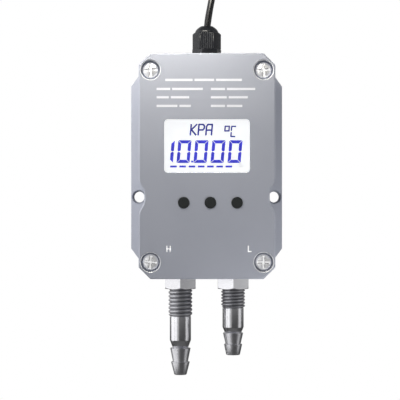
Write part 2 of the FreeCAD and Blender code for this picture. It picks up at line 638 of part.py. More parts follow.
def pressure_sensor():
    """Moulded differential sensor with a stepped lid and two stems pointing down."""
    z = SENSOR_Z + SENSOR_HEIGHT / 2
    top = MAIN_BOARD_Y - SENSOR_THICKNESS
    body = plate(SENSOR_WIDTH, SENSOR_HEIGHT, 0, z, top + SENSOR_LID_RISE, MAIN_BOARD_Y,
                 SENSOR_ROUND)
    lid = plate(SENSOR_WIDTH - 2 * SENSOR_LID_STEP, SENSOR_HEIGHT - 2 * SENSOR_LID_STEP, 0, z,
                top, MAIN_BOARD_Y - JOINT_DEPTH, SENSOR_ROUND)
    body = body.fuse(lid)
    for side in (LEFT, RIGHT):
        x = side * SENSOR_PORT_SPACING / 2
        stem = rod_z(STEM_R, x, SENSOR_PORT_Y, SENSOR_Z - STEM_LENGTH, SENSOR_Z + 1)
        body = body.fuse(stem)
    for side in (LEFT, RIGHT):
        x = side * SENSOR_PORT_SPACING / 2
        body = body.cut(rod_z(STEM_BORE_R, x, SENSOR_PORT_Y, SENSOR_Z - STEM_LENGTH - 1,
                              SENSOR_Z + 3))
    return body.removeSplitter()


def silicone_tube(side, name):
    """Soft tube from a port's inner stem up to the sensor's stem on the same side."""
    port_x, sensor_x = side * PORT_X["low"], side * SENSOR_PORT_SPACING / 2
    straight = (SENSOR_Z - PORT_INNER_Z) * TUBE_STRAIGHT
    points = [(port_x, PORT_Y, PORT_INNER_Z), (port_x, PORT_Y, PORT_INNER_Z + straight),
              (sensor_x, SENSOR_PORT_Y, SENSOR_Z - straight),
              (sensor_x, SENSOR_PORT_Y, SENSOR_Z)]
    return tube(points, TUBE_R, name).cut(tube(points, TUBE_R - TUBE_WALL, name + " bore"))


def terminal_spots():
    return [side * TERMINAL_PITCH / 2 for side in (LEFT, RIGHT)]


def terminal_block():
    """Two-way screw terminal: wires enter from above, screws face the cover."""
    front = MAIN_BOARD_Y - TERMINAL_THICKNESS
    body = plate(2 * TERMINAL_PITCH, TERMINAL_HEIGHT, 0, TERMINAL_TOP_Z - TERMINAL_HEIGHT / 2,
                 front, MAIN_BOARD_Y)
    for x in terminal_spots():
        body = body.cut(rod_y(TERMINAL_SCREW_R + FIT_CLEARANCE, x,
                              TERMINAL_TOP_Z - TERMINAL_HEIGHT / 2, front - 1,
                              front + TERMINAL_SCREW_DEPTH))
        body = body.cut(rod_z(CORE_R + FIT_CLEARANCE, x, TERMINAL_Y,
                              TERMINAL_TOP_Z - TERMINAL_WIRE_DEPTH, TERMINAL_TOP_Z + 1))
    return body


def terminal_screw(x):
    front = MAIN_BOARD_Y - TERMINAL_THICKNESS
    z = TERMINAL_TOP_Z - TERMINAL_HEIGHT / 2
    top = front + TERMINAL_SCREW_SINK
    head = rod_y(TERMINAL_SCREW_R, x, z, top, front + TERMINAL_SCREW_DEPTH)
    half_slot = TERMINAL_SLOT_WIDTH / 2
    return head.cut(block(x - TERMINAL_PITCH, x + TERMINAL_PITCH, front,
                          top + TERMINAL_SLOT_DEPTH, z - half_slot, z + half_slot))


def board_connectors():
    """Ribbon headers: one on the back of the display board, one on the main board."""
    return [plate(CONNECTOR_WIDTH, CONNECTOR_HEIGHT, CONNECTOR_X, CONNECTOR_Z,
                  DISPLAY_BOARD_BACK_Y, DISPLAY_BOARD_BACK_Y + CONNECTOR_THICKNESS),
            plate(CONNECTOR_WIDTH, CONNECTOR_HEIGHT, CONNECTOR_X, CONNECTOR_Z,
                  MAIN_BOARD_Y - CONNECTOR_THICKNESS, MAIN_BOARD_Y)]


def board_ribbon():
    """Flat ribbon that bows downward between the two headers."""
    front = DISPLAY_BOARD_BACK_Y + CONNECTOR_THICKNESS
    back = MAIN_BOARD_Y - CONNECTOR_THICKNESS
    span = back - front
    bow = span * RIBBON_BOW
    half = RIBBON_THICKNESS / 2

    def arc(offset):
        return Part.Arc(Vector(CONNECTOR_X, front, CONNECTOR_Z - offset),
                        Vector(CONNECTOR_X, front + span / 2, CONNECTOR_Z - bow - offset),
                        Vector(CONNECTOR_X, back, CONNECTOR_Z - offset)).toShape()

    upper, lower = arc(-half), arc(half)
    ends = [Part.LineSegment(upper.Vertexes[i].Point, lower.Vertexes[i].Point).toShape()
            for i in (0, 1)]
    face = Part.Face(Part.Wire(Part.__sortEdges__([upper, ends[1], lower, ends[0]])))
    width = CONNECTOR_WIDTH - 1.0
    face.translate(Vector(-width / 2, 0, 0))
    return face.extrude(Vector(width, 0, 0))


def lead_core(side, name):
    """One insulated core from the cable's sheath into the terminal block."""
    x0, x1 = side * CORE_OFFSET, side * TERMINAL_PITCH / 2
    straight = (LEAD_IN_END_Z - TERMINAL_TOP_Z) * CORE_STRAIGHT
    points = [(x0, PORT_Y, LEAD_IN_END_Z), (x0, PORT_Y, LEAD_IN_END_Z - straight),
              (x1, TERMINAL_Y, TERMINAL_TOP_Z + straight),
              (x1, TERMINAL_Y, TERMINAL_TOP_Z - CORE_GRIP)]
    return tube(points, CORE_R, name)


# ---- Pressure ports -----------------------------------------------------------------------------

def port_fitting(x, size):
    """Turned bulkhead fitting: inner stem, threaded part, plain shank, neck and two barbs."""
    z = HOUSING_BOTTOM - PORT_NUT_HEIGHT
    z -= size["thread"]
    profile = [(STEM_BORE_R, PORT_INNER_Z + STEM_LENGTH), (STEM_R, PORT_INNER_Z + STEM_LENGTH),
               (STEM_R, PORT_INNER_Z), (THREAD_R - THREAD_BEVEL, PORT_INNER_Z),
               (THREAD_R, PORT_INNER_Z - THREAD_BEVEL), (THREAD_R, z + THREAD_BEVEL), (SHANK_R, z)]
    z -= size["shank"]
    profile.append((SHANK_R, z))
    z -= size["taper"]
    profile += [(size["neck_r"], z), (size["barb_r"], z - BARB_LAND)]
    z -= size["barb"]
    profile += [(size["barb_foot_r"], z), (size["tip_top_r"], z - BARB_LAND)]
    z -= size["tip"]
    profile += [(size["tip_r"], z), (PORT_BORE_R, z), (PORT_BORE_R, PORT_INNER_Z - 2),
                (STEM_BORE_R, PORT_INNER_Z - 1)]
    return turned(profile, x, PORT_Y)


def port_outer_nut(x):
    return hexagon_nut(PORT_NUT_FLATS, THREAD_R + THREAD_CLEARANCE, x, PORT_Y,
                       HOUSING_BOTTOM - PORT_NUT_HEIGHT, HOUSING_BOTTOM, 30, (True, False))


def port_seal(x):
    """Flat rubber ring between the housing's inner wall and the inner nut."""
    low = HOUSING_BOTTOM + WALL
    ring = rod_z(THREAD_R + PORT_SEAL_RIM, x, PORT_Y, low, low + PORT_SEAL_THICKNESS)
    return ring.cut(rod_z(THREAD_R + THREAD_CLEARANCE, x, PORT_Y, low - 1, low + 2))


def port_inner_nut(x):
    low = HOUSING_BOTTOM + WALL + PORT_SEAL_THICKNESS
    return hexagon_nut(PORT_NUT_FLATS, THREAD_R + THREAD_CLEARANCE, x, PORT_Y, low,
                       low + PORT_NUT_INNER_HEIGHT, 30, (False, False))


# ---- Cable gland --------------------------------------------------------------------------------

def gland_body():
    """Hexagonal flange, thread through the wall and a collar that holds the seal."""
    body = hexagon(GLAND_FLANGE_FLATS, 0, PORT_Y, HOUSING_TOP, GLAND_NUT_Z, GLAND_FLANGE_TURN)
    body = body.fuse(rod_z(GLAND_THREAD_R, 0, PORT_Y, GLAND_INNER_Z, HOUSING_TOP + 1))
    body = body.fuse(rod_z(GLAND_THREAD_R, 0, PORT_Y, GLAND_NUT_Z - 1, COLLAR_TOP_Z))
    body = body.cut(rod_z(CABLE_BORE_R + FIT_CLEARANCE, 0, PORT_Y, GLAND_INNER_Z - 1,
                          COLLAR_TOP_Z + 1))
    return body.cut(rod_z(GLAND_THREAD_R - GLAND_WALL, 0, PORT_Y, GLAND_NUT_Z, COLLAR_TOP_Z + 1))


def gland_nut():
    """Hexagonal dome nut with fine ribs on its flats, round shoulder and flared mouth."""
    corner_r = GLAND_NUT_FLATS / math.sqrt(3)
    bevel_z = GLAND_SHOULDER_Z - (corner_r - GLAND_DOME_R) * GLAND_BEVEL_SLOPE
    envelope = turned([(0, GLAND_NUT_Z), (corner_r + 1, GLAND_NUT_Z),
                       (corner_r + 1, bevel_z), (corner_r, bevel_z),
                       (GLAND_DOME_R, GLAND_SHOULDER_Z), (0, GLAND_SHOULDER_Z)], 0, PORT_Y)
    nut = hexagon(GLAND_NUT_FLATS, 0, PORT_Y, GLAND_NUT_Z, GLAND_SHOULDER_Z).common(envelope)
    face_width = GLAND_NUT_FLATS / math.sqrt(3)
    ribs = int(face_width / GLAND_RIB_PITCH)
    grooves = []
    for side in range(6):
        for k in range(ribs):
            across = (k - (ribs - 1) / 2) * GLAND_RIB_PITCH
            groove = block(across - GLAND_RIB_PITCH / 4, across + GLAND_RIB_PITCH / 4,
                           -GLAND_NUT_FLATS / 2 - 1, -GLAND_NUT_FLATS / 2 + GLAND_RIB_DEPTH,
                           GLAND_NUT_Z - 1, GLAND_SHOULDER_Z)
            groove.rotate(Vector(0, 0, 0), Vector(0, 0, 1), 60 * side)
            groove.translate(Vector(0, PORT_Y, 0))
            grooves.append(groove)
    nut = nut.cut(grooves)
    crown_r = CABLE_BORE_R + GLAND_WALL
    low = GLAND_SHOULDER_Z - GLAND_SEAL_GAP
    dome = [(0, low), (GLAND_DOME_R, low)]
    for height, reach in GLAND_DOME_STEPS:
        dome.append((crown_r + (GLAND_DOME_R - crown_r) * reach,
                     GLAND_SHOULDER_Z + GLAND_DOME_HEIGHT * height))
    nut = nut.fuse(turned(dome + [(0, GLAND_MOUTH_Z)], 0, PORT_Y))
    seal_top = GLAND_SHOULDER_Z - GLAND_SEAL_GAP
    bore = turned([(0, GLAND_NUT_Z - 1), (GLAND_THREAD_R + THREAD_CLEARANCE, GLAND_NUT_Z - 1),
                   (GLAND_THREAD_R + THREAD_CLEARANCE, COLLAR_TOP_Z + FIT_CLEARANCE),
                   (GLAND_THREAD_R - GLAND_WALL, seal_top), (CABLE_BORE_R, seal_top),
                   (CABLE_BORE_R, GLAND_SHOULDER_Z), (GLAND_MOUTH_R, GLAND_MOUTH_Z),
                   (GLAND_MOUTH_R, GLAND_MOUTH_Z + 1), (0, GLAND_MOUTH_Z + 1)], 0, PORT_Y)
    return nut.cut(bore).removeSplitter()


def gland_seal():
    """Rubber sleeve that grips the cable inside the collar."""
    low = GLAND_NUT_Z + FIT_CLEARANCE
    high = GLAND_SHOULDER_Z - GLAND_SEAL_GAP - FIT_CLEARANCE
    sleeve_r = GLAND_THREAD_R - GLAND_WALL - THREAD_CLEARANCE
    return rod_z(sleeve_r, 0, PORT_Y, low, high).cut(
        rod_z(CABLE_R + THREAD_CLEARANCE, 0, PORT_Y, low - 1, high + 1))


def gland_washer():
    top = HOUSING_TOP - WALL
    return rod_z(GLAND_THREAD_R + 2, 0, PORT_Y, top - GLAND_WASHER_THICKNESS, top).cut(
        rod_z(GLAND_THREAD_R + THREAD_CLEARANCE, 0, PORT_Y, top - 3, top + 1))


def gland_lock_nut():
    top = HOUSING_TOP - WALL - GLAND_WASHER_THICKNESS
    return hexagon_nut(GLAND_LOCK_FLATS, GLAND_THREAD_R + THREAD_CLEARANCE, 0, PORT_Y,
                       top - GLAND_LOCK_HEIGHT, top, 0, (False, False))


# ---- Cable --------------------------------------------------------------------------------------

# The free cable: out of the gland, over the top and down behind the housing to the coil.
COIL_CENTRE = (0.0, 10.0, 28.0)
CABLE_ROUTE = [
    (0.0, -24.0, 73.3),
    (0.0, -24.0, 79.0),
    (2.18, -24.6, 90.0),
    (4.61, -23.8, 103.2),
    (6.3, -13.8, 113.3),
    (6.06, 0.5, 113.3),
    (4.01, 10.6, 103.2),
    (1.19, 11.0, 88.0),
    (-0.5, 10.3, 74.0),
    (-6.0, 10.1, 60.0),
    (-13.6, 10.0, 44.5),
    (-16.5, 10.0, 28.0),
]
# The loose end leaves the coil at its lower left.
TAIL_ROUTE = [
    (-16.5, 12.6, 27.0),
    (-16.6, 12.4, 15.0),
    (-14.2, 11.8, 3.2),
    (-9.4, 11.0, -7.0),
]
CORE_LENGTH = 11.0
FERRULE_LENGTH = 6.0


def coil_ring(growth=0.0):
    """Bundle of turns as one closed eight-sided ring about a horizontal axis."""
    half = COIL_SECTION / 2 + growth
    flat = half - COIL_SECTION_BEVEL
    corners = [(half, flat), (flat, half), (-flat, half), (-half, flat),
               (-half, -flat), (-flat, -half), (flat, -half), (half, -flat)]
    x, y, z = COIL_CENTRE
    points = [Vector(x + COIL_MID_R + across, y + along, z) for across, along in corners]
    section = Part.Face(Part.makePolygon(points + points[:1]))
    return section.revolve(Vector(x, y, z), Vector(0, 1, 0), 360)


def cable_tie():
    """Strap round the bundle at the top of the coil, with its square head."""
    x, y, z = COIL_CENTRE
    top = z + COIL_MID_R
    half = COIL_SECTION / 2
    outer = half + TIE_THICKNESS
    head_half = TIE_WIDTH / 2 + TIE_HEAD_SIDE
    band = block(x - TIE_WIDTH / 2, x + TIE_WIDTH / 2, y - outer, y + outer,
                 top - outer - TIE_SLACK, top + outer)
    hollow = block(x - TIE_WIDTH, x + TIE_WIDTH, y - half, y + half, top - half - TIE_SLACK,
                   top + half)
    head = block(x - head_half, x + head_half, y - TIE_HEAD_LENGTH / 2, y + TIE_HEAD_LENGTH / 2,
                 top + half, top + outer + TIE_HEAD_RISE)
    return band.fuse(head).cut(hollow).cut(coil_ring(TIE_CLEARANCE)).removeSplitter()


def core_ends():
    """Two bare-ended cores fanning out of the sheath, each with a crimped ferrule."""
    end, before = Vector(*TAIL_ROUTE[-1]), Vector(*TAIL_ROUTE[-2])
    along = (end - before).normalize()
    across = along.cross(Vector(0, 1, 0)).normalize()
    cores, ferrules = [], []
    for side in (LEFT, RIGHT):
        start = end + across * (side * CORE_OFFSET) + along * FIT_CLEARANCE
        lean = (along + across * (side * CORE_SPREAD)).normalize()
        tip = start + lean * CORE_LENGTH
        cores.append(Part.makeCylinder(CORE_R, CORE_LENGTH, start, lean))
        ferrules.append(Part.makeCylinder(FERRULE_R, FERRULE_LENGTH, tip, lean))
    return cores, ferrules


def lead_in():
    """Sheath from inside the housing up through the gland."""
    return rod_z(CABLE_R, 0, PORT_Y, LEAD_IN_END_Z, RUN_START_Z)


# ---- Nodes --------------------------------------------------------------------------------------

def build_nodes():
    cores, ferrules = core_ends()
    ring = coil_ring()
    nodes = {
        "housing_base": housing_base(),
        "front_cover": front_cover(),
        "cover_gasket": gasket_ring(RIM_Y, RIM_Y - GASKET_DEPTH, THREAD_CLEARANCE),
        "cover_screws": group([cover_screw(x, z) for x, z in SCREW_SPOTS]),
        "display_window": display_window(),
        "window_seal": window_seal(),
        "lcd_panel": plate(LCD_WIDTH, LCD_HEIGHT, 0, WINDOW_Z, LCD_FRONT_Y, LCD_BACK_Y),
        "lcd_backlight": plate(LCD_WIDTH, LCD_HEIGHT, 0, WINDOW_Z, LCD_BACK_Y, DISPLAY_BOARD_Y),
        "lcd_bezel": lcd_bezel(),
        "display_board": display_board(),
        "display_screws": group([small_screw(x, z, DISPLAY_BOARD_BACK_Y, -1)
                                 for x, z in DISPLAY_POSTS]),
        "main_board": main_board(),
        "main_board_screws": group([small_screw(x, z, MAIN_BOARD_Y, 1) for x, z in MAIN_POSTS]),
        "board_connectors": group(board_connectors()),
        "board_ribbon": board_ribbon(),
        "pressure_sensor": pressure_sensor(),
        "tube_high": silicone_tube(LEFT, "tube_high"),
        "tube_low": silicone_tube(RIGHT, "tube_low"),
        "terminal_block": terminal_block(),
        "terminal_screws": group([terminal_screw(x) for x in terminal_spots()]),
        "port_fitting_high": port_fitting(PORT_X["high"], PORT_HIGH),
        "port_fitting_low": port_fitting(PORT_X["low"], PORT_LOW),
        "port_nuts_outer": group([port_outer_nut(x) for x in PORT_X.values()]),
        "port_nuts_inner": group([port_inner_nut(x) for x in PORT_X.values()]),
        "port_seals": group([port_seal(x) for x in PORT_X.values()]),
        "gland_body": gland_body(),
        "gland_nut": gland_nut(),
        "gland_seal": gland_seal(),
        "gland_washer": gland_washer(),
        "gland_lock_nut": gland_lock_nut(),
        "cable_lead_in": lead_in(),
        "wire_positive": lead_core(LEFT, "wire_positive"),
        "wire_negative": lead_core(RIGHT, "wire_negative"),
        "cable_run": tube(CABLE_ROUTE, CABLE_R, "cable_run").cut(ring),
        "cable_coil": ring,
        "cable_tie": cable_tie(),
        "cable_tail": tube(TAIL_ROUTE, CABLE_R, "cable_tail").cut(ring),
        "core_ends": group(cores),
        "core_ferrules": group(ferrules),
    }
    for name, x in BUTTONS.items():
        nodes[f"button_{name}"] = button(x)
        nodes[f"switch_{name}"] = switch(x)
    return nodes


os.makedirs("parts", exist_ok=True)
for node, shape in build_nodes().items():
    solids = shape.Solids
    volume = sum(solid.Volume for solid in solids)
    print(f"{node}: {len(solids)} solids, {volume:.1f} mm3, valid {shape.isValid()}")
    shape.exportStep(f"parts/{node}.step")
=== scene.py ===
"""Looks of the differential pressure transmitter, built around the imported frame.

Blender 4.5, metres.
"""

import json
import math

import bmesh
import bpy
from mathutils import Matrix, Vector

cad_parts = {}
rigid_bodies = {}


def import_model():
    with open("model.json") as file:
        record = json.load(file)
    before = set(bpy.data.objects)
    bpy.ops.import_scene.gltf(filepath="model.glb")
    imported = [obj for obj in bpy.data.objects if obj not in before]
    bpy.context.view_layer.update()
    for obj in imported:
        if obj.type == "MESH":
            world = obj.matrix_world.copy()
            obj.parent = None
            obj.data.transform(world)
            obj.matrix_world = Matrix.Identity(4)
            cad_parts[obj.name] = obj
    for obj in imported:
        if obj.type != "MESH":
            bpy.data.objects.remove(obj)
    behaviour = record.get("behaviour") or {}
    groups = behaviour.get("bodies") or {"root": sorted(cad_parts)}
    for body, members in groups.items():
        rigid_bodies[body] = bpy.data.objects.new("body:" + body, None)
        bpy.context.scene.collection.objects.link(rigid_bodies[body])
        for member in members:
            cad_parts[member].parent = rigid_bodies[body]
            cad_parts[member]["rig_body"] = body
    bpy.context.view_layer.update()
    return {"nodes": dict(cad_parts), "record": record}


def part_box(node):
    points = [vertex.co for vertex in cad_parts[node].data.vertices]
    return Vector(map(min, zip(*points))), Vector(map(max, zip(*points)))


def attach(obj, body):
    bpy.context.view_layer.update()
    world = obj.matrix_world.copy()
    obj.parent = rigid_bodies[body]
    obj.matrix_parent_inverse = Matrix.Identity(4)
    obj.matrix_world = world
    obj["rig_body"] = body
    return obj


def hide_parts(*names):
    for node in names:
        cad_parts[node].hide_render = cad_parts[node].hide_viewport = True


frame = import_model()
MM = 0.001
BODY = "housing"
TURN = 2 * math.pi
WHITE = (1.0, 1.0, 1.0)


# ---- Places, from the frame ----------------------------------------------------------------------

def centre(node):
    """Middle of a node's box."""
    low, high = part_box(node)
    return (low + high) / 2


def clamp(value):
    """The value, held between 0 and 1."""
    return min(1.0, max(0.0, value))


COVER_LOW, COVER_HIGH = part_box("front_cover")
FACE_Y = COVER_LOW.y
COVER_CENTRE = (COVER_LOW + COVER_HIGH) / 2
LCD_LOW, LCD_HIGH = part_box("lcd_panel")
PORT_HIGH = centre("port_fitting_high")
PORT_LOW = centre("port_fitting_low")
GLAND = centre("gland_nut")
HOUSING_BOTTOM = COVER_LOW.z


# ---- Mesh helpers --------------------------------------------------------------------------------

def add_object(name, data, material, body=BODY, replaces=()):
    """Links an object, gives it its material, if it has just one, and lets it ride on its body."""
    piece = bpy.data.objects.new(name, data)
    bpy.context.scene.collection.objects.link(piece)
    if material:
        piece.data.materials.clear()
        piece.data.materials.append(material)
    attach(piece, body)
    if replaces:
        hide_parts(*replaces)
    return piece


def mesh_from(name, build):
    """A mesh filled by build(bm)."""
    mesh = bpy.data.meshes.new(name)
    bm = bmesh.new()
    build(bm)
    bm.normal_update()
    bm.to_mesh(mesh)
    bm.free()
    return mesh


WELD = 2e-6                 # vertices nearer than this are one
SPECK = 1e-7                # lengths below this are nothing


def smooth_by_angle(mesh, degrees):
    """Smooth shading, with sharp edges where the faces turn by more than the angle."""
    limit = math.radians(degrees)
    bm = bmesh.new()
    bm.from_mesh(mesh)
    bmesh.ops.remove_doubles(bm, verts=bm.verts, dist=WELD)
    bmesh.ops.dissolve_degenerate(bm, edges=bm.edges, dist=SPECK)
    for edge in bm.edges:
        edge.smooth = len(edge.link_faces) == 2 and edge.calc_face_angle(0) < limit
    for face in bm.faces:
        face.smooth = True
    bm.to_mesh(mesh)
    bm.free()


FLAT = math.radians(0.5)    # faces that turn by less than this are one flat


def dressed(node, name, material, bevel=0.0, angle=28):
    """A copy of a CAD node with welded faces, smooth curves and softened edges."""
    source = frame["nodes"][node]
    mesh = source.data.copy()
    mesh.name = name
    smooth_by_angle(mesh, angle)
    bm = bmesh.new()
    bm.from_mesh(mesh)
    bmesh.ops.dissolve_limit(bm, angle_limit=FLAT, verts=bm.verts, edges=bm.edges,
                             delimit={"SHARP"})
    bm.to_mesh(mesh)
    bm.free()
    piece = add_object(name, mesh, material, source["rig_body"], (node,))
    if bevel:
        soft = piece.modifiers.new("soft_edges", "BEVEL")
        soft.width = bevel
        soft.segments = 2
        soft.limit_method = "ANGLE"
        soft.angle_limit = math.radians(angle)
        soft.harden_normals = True
        soft.use_clamp_overlap = True


def bridge(bm, one, two):
    """Faces between two closed loops with equal numbers of points."""
    for k in range(len(one)):
        n = (k + 1) % len(one)
        bm.faces.new((one[k], one[n], two[n], two[k]))


def circle(bm, x, y, z, radius, around):
    """Loop of vertices round an axis along Y."""
    return [bm.verts.new((x + radius * math.cos(TURN * k / around), y,
                          z + radius * math.sin(TURN * k / around))) for k in range(around)]


def lathe(name, rows, x, y, around):
    """Mesh skinned over rings about a vertical axis; a row is (z, radius) or (z, radius(turn))."""
    def build(bm):
        rings = []
        for z, radius in rows:
            ring = []
            for k in range(around):
                r = radius(k / around) if callable(radius) else radius
                angle = TURN * k / around
                ring.append(bm.verts.new((x + r * math.cos(angle), y + r * math.sin(angle), z)))
            rings.append(ring)
        for low, high in zip(rings, rings[1:]):
            bridge(bm, low, high)
        bmesh.ops.remove_doubles(bm, verts=bm.verts, dist=SPECK)
        bmesh.ops.recalc_face_normals(bm, faces=bm.faces)
    return mesh_from(name, build)


def polygon_plate(bm, points, y, thickness):
    """Flat print: an XZ polygon raised off a surface that faces -Y."""
    front = [bm.verts.new((x, y - thickness, z)) for x, z in points]
    back = [bm.verts.new((x, y, z)) for x, z in points]
    area = sum(a[0] * b[1] - b[0] * a[1] for a, b in zip(points, points[1:] + points[:1]))
    if area < 0:
        front.reverse()
        back.reverse()
    bm.faces.new(front)
    bm.faces.new(back[::-1])
    bridge(bm, front[::-1], back[::-1])


def bar(x, z, width, height, slant=0.0):
    """Corners of a bar with its lower left corner at (x, z), leaning right by slant."""
    lean = height * slant
    return [(x, z), (x + width, z), (x + width + lean, z + height), (x + lean, z + height)]


# ---- Materials -----------------------------------------------------------------------------------

RAMP = (0.3, 0.7)           # the part of a noise's range over which a tone changes


class Shader:
    """A procedural material: a Principled surface with helpers that wire its textures."""

    def __init__(self, name, color, roughness, metallic=0.0):
        self.material = bpy.data.materials.new(name)
        self.material.use_nodes = True
        self.nodes = self.material.node_tree.nodes
        self.links = self.material.node_tree.links
        self.surface = self.nodes["Principled BSDF"]
        self.set("Base Color", (*color, 1.0))
        self.set("Roughness", roughness)
        self.set("Metallic", metallic)
        self.place = self.nodes.new("ShaderNodeTexCoord").outputs["Object"]
        self.normal = None

    def set(self, socket, value):
        self.surface.inputs[socket].default_value = value

    def glow(self, strength):
        self.set("Emission Color", (*WHITE, 1.0))
        self.set("Emission Strength", strength)

    def noise(self, scale, detail, stretch=(1, 1, 1)):
        """Noise over the object's own coordinates; scale is in cells per metre."""
        mapping = self.nodes.new("ShaderNodeMapping")
        mapping.inputs["Scale"].default_value = stretch
        self.links.new(self.place, mapping.inputs["Vector"])
        texture = self.nodes.new("ShaderNodeTexNoise")
        texture.inputs["Scale"].default_value = scale
        texture.inputs["Detail"].default_value = detail
        texture.inputs["Roughness"].default_value = 0.55
        self.links.new(mapping.outputs["Vector"], texture.inputs["Vector"])
        return texture.outputs["Fac"]

    def blend(self, factor, low, high):
        """Colours from low to high as factor rises through the ramp."""
        ramp = self.nodes.new("ShaderNodeValToRGB")
        for stop, place, color in zip(ramp.color_ramp.elements, RAMP, (low, high)):
            stop.position = place
            stop.color = (*color, 1.0)
        self.links.new(factor, ramp.inputs["Fac"])
        return ramp.outputs["Color"]

    def vary_color(self, factor, low, high):
        self.links.new(self.blend(factor, low, high), self.surface.inputs["Base Color"])

    def vary_roughness(self, factor, low, high):
        ramp = self.nodes.new("ShaderNodeMapRange")
        for socket, value in (("From Min", RAMP[0]), ("From Max", RAMP[1]), ("To Min", low),
                              ("To Max", high)):
            ramp.inputs[socket].default_value = value
        self.links.new(factor, ramp.inputs["Value"])
        self.links.new(ramp.outputs["Result"], self.surface.inputs["Roughness"])

    def bump(self, factor, distance, strength):
        """Adds a relief; several reliefs chain through each other's normals."""
        bump = self.nodes.new("ShaderNodeBump")
        bump.inputs["Distance"].default_value = distance
        bump.inputs["Strength"].default_value = strength
        self.links.new(factor, bump.inputs["Height"])
        if self.normal:
            self.links.new(self.normal, bump.inputs["Normal"])
        self.normal = bump.outputs["Normal"]
        self.links.new(self.normal, self.surface.inputs["Normal"])


def cast_aluminium():
    """Shot-blasted, clear-coated casting: fine grain and very faint flow marks."""
    shader = Shader("cast_aluminium", (0.46, 0.48, 0.555), 0.42, metallic=0.2)
    shader.vary_color(shader.noise(45, 5), (0.447, 0.467, 0.542), (0.473, 0.493, 0.568))
    shader.vary_roughness(shader.noise(160, 6), 0.38, 0.46)
    shader.bump(shader.noise(9000, 2), 0.00002, 0.35)
    shader.bump(shader.noise(700, 4), 0.00003, 0.25)
    return shader.material


def nickel(name, color, roughness):
    """Nickel plate with fine turning marks round the axis."""
    shader = Shader(name, color, roughness, metallic=1.0)
    darker = tuple(c * 0.95 for c in color)
    shader.vary_color(shader.noise(220, 4, stretch=(1, 1, 4)), darker, color)
    shader.vary_roughness(shader.noise(300, 4, stretch=(1, 1, 4)), roughness - 0.012,
                          roughness + 0.012)
    return shader.material


def machined():
    """Bare metal left by the counterbore cutter, lighter than the coat round it."""
    shader = Shader("machined_aluminium", (0.80, 0.81, 0.83), 0.34, metallic=0.3)
    shader.vary_roughness(shader.noise(800, 4), 0.28, 0.4)
    shader.bump(shader.noise(2500, 3), 0.00001, 0.3)
    return shader.material


def zinc_plate_with_painted_glow():
    """Bright plate of the screws and ferrules, with a painted glow that brightens it."""
    shader = Shader("bright_zinc_painted_glow", (0.88, 0.88, 0.89), 0.3, metallic=0.7)
    # Painted glow: a little emission makes the plate look brighter than the lamps alone light it.
    shader.glow(0.2)
    shader.vary_roughness(shader.noise(1200, 5), 0.26, 0.36)
    shader.bump(shader.noise(2500, 3), 0.00001, 0.3)
    return shader.material


def zinc_with_painted_shade():
    """The same plate on the steep sides of a recess, darkened as painted shade."""
    # Painted shade: a dark copy of the plate for the recess sides.
    shader = Shader("recess_zinc_painted_shade", (0.20, 0.20, 0.21), 0.4, metallic=0.2)
    shader.vary_roughness(shader.noise(1200, 5), 0.34, 0.46)
    return shader.material


def zinc_with_painted_light():
    """The same plate on the floor of a recess, lightened and glowing as painted light."""
    # Painted light: a lighter copy of the plate that glows, for the recess floors.
    shader = Shader("recess_floor_zinc_painted_light", (0.92, 0.92, 0.93), 0.35, metallic=0.1)
    shader.glow(0.45)
    shader.vary_roughness(shader.noise(1200, 5), 0.3, 0.4)
    return shader.material


def moulded(name, color, roughness, grain=0.00002, spread=0.06):
    """Moulded plastic or rubber: fine texture and small changes of tone and gloss."""
    shader = Shader(name, color, roughness)
    darker = tuple(c * 0.88 for c in color)
    shader.vary_color(shader.noise(150, 5), darker, color)
    shader.vary_roughness(shader.noise(600, 5), roughness - spread, roughness + spread)
    shader.bump(shader.noise(4000, 3), grain, 0.4)
    return shader.material


def clear_plastic():
    """Thin polycarbonate pane: mostly see-through with a faint gloss."""
    shader = Shader("clear_polycarbonate", (0.97, 0.98, 0.99), 0.04)
    shader.set("IOR", 1.45)
    shader.set("Transmission Weight", 1.0)
    shader.vary_roughness(shader.noise(400, 4), 0.02, 0.05)
    return shader.material


def lit_glass():
    """Backlit display: white that glows evenly, with patches that are slightly cooler."""
    shader = Shader("lit_display", (0.25, 0.26, 0.27), 0.3)
    tint = shader.blend(shader.noise(60, 2), (0.985, 0.99, 1.0), (1.0, 1.0, 0.99))
    shader.links.new(tint, shader.surface.inputs["Emission Color"])
    shader.set("Emission Strength", 0.98)
    return shader.material


def lit_ink(name, color, strength):
    """Display segments: saturated ink over the light, with a slightly uneven dye."""
    shader = Shader(name, color, 0.4)
    lighter = tuple(min(1.0, c * 1.25 + 0.01) for c in color)
    tint = shader.blend(shader.noise(900, 2), color, lighter)
    shader.links.new(tint, shader.surface.inputs["Base Color"])
    shader.links.new(tint, shader.surface.inputs["Emission Color"])
    shader.set("Emission Strength", strength)
    return shader.material


def print_white_painted_glow():
    """White ink, made brighter by a painted glow."""
    shader = Shader("white_print_painted_glow", (0.92, 0.92, 0.93), 0.55)
    shader.vary_color(shader.noise(3000, 3), (0.88, 0.88, 0.89), (0.94, 0.94, 0.95))
    # Painted glow: the print emits a little light to look brighter.
    shader.glow(0.3)
    return shader.material


def soft_print():
    """The same ink laid thinner, so that the coat under it dulls it."""
    shader = Shader("soft_print", (0.80, 0.81, 0.87), 0.55)
    shader.vary_color(shader.noise(3000, 3), (0.77, 0.78, 0.84), (0.81, 0.82, 0.88))
    return shader.material


def cable_jacket():
    """Glossy black sheath."""
    shader = Shader("cable_jacket", (0.005, 0.005, 0.006), 0.24)
    shader.vary_color(shader.noise(90, 3), (0.0045, 0.0045, 0.0055), (0.0065, 0.0065, 0.0075))
    return shader.material


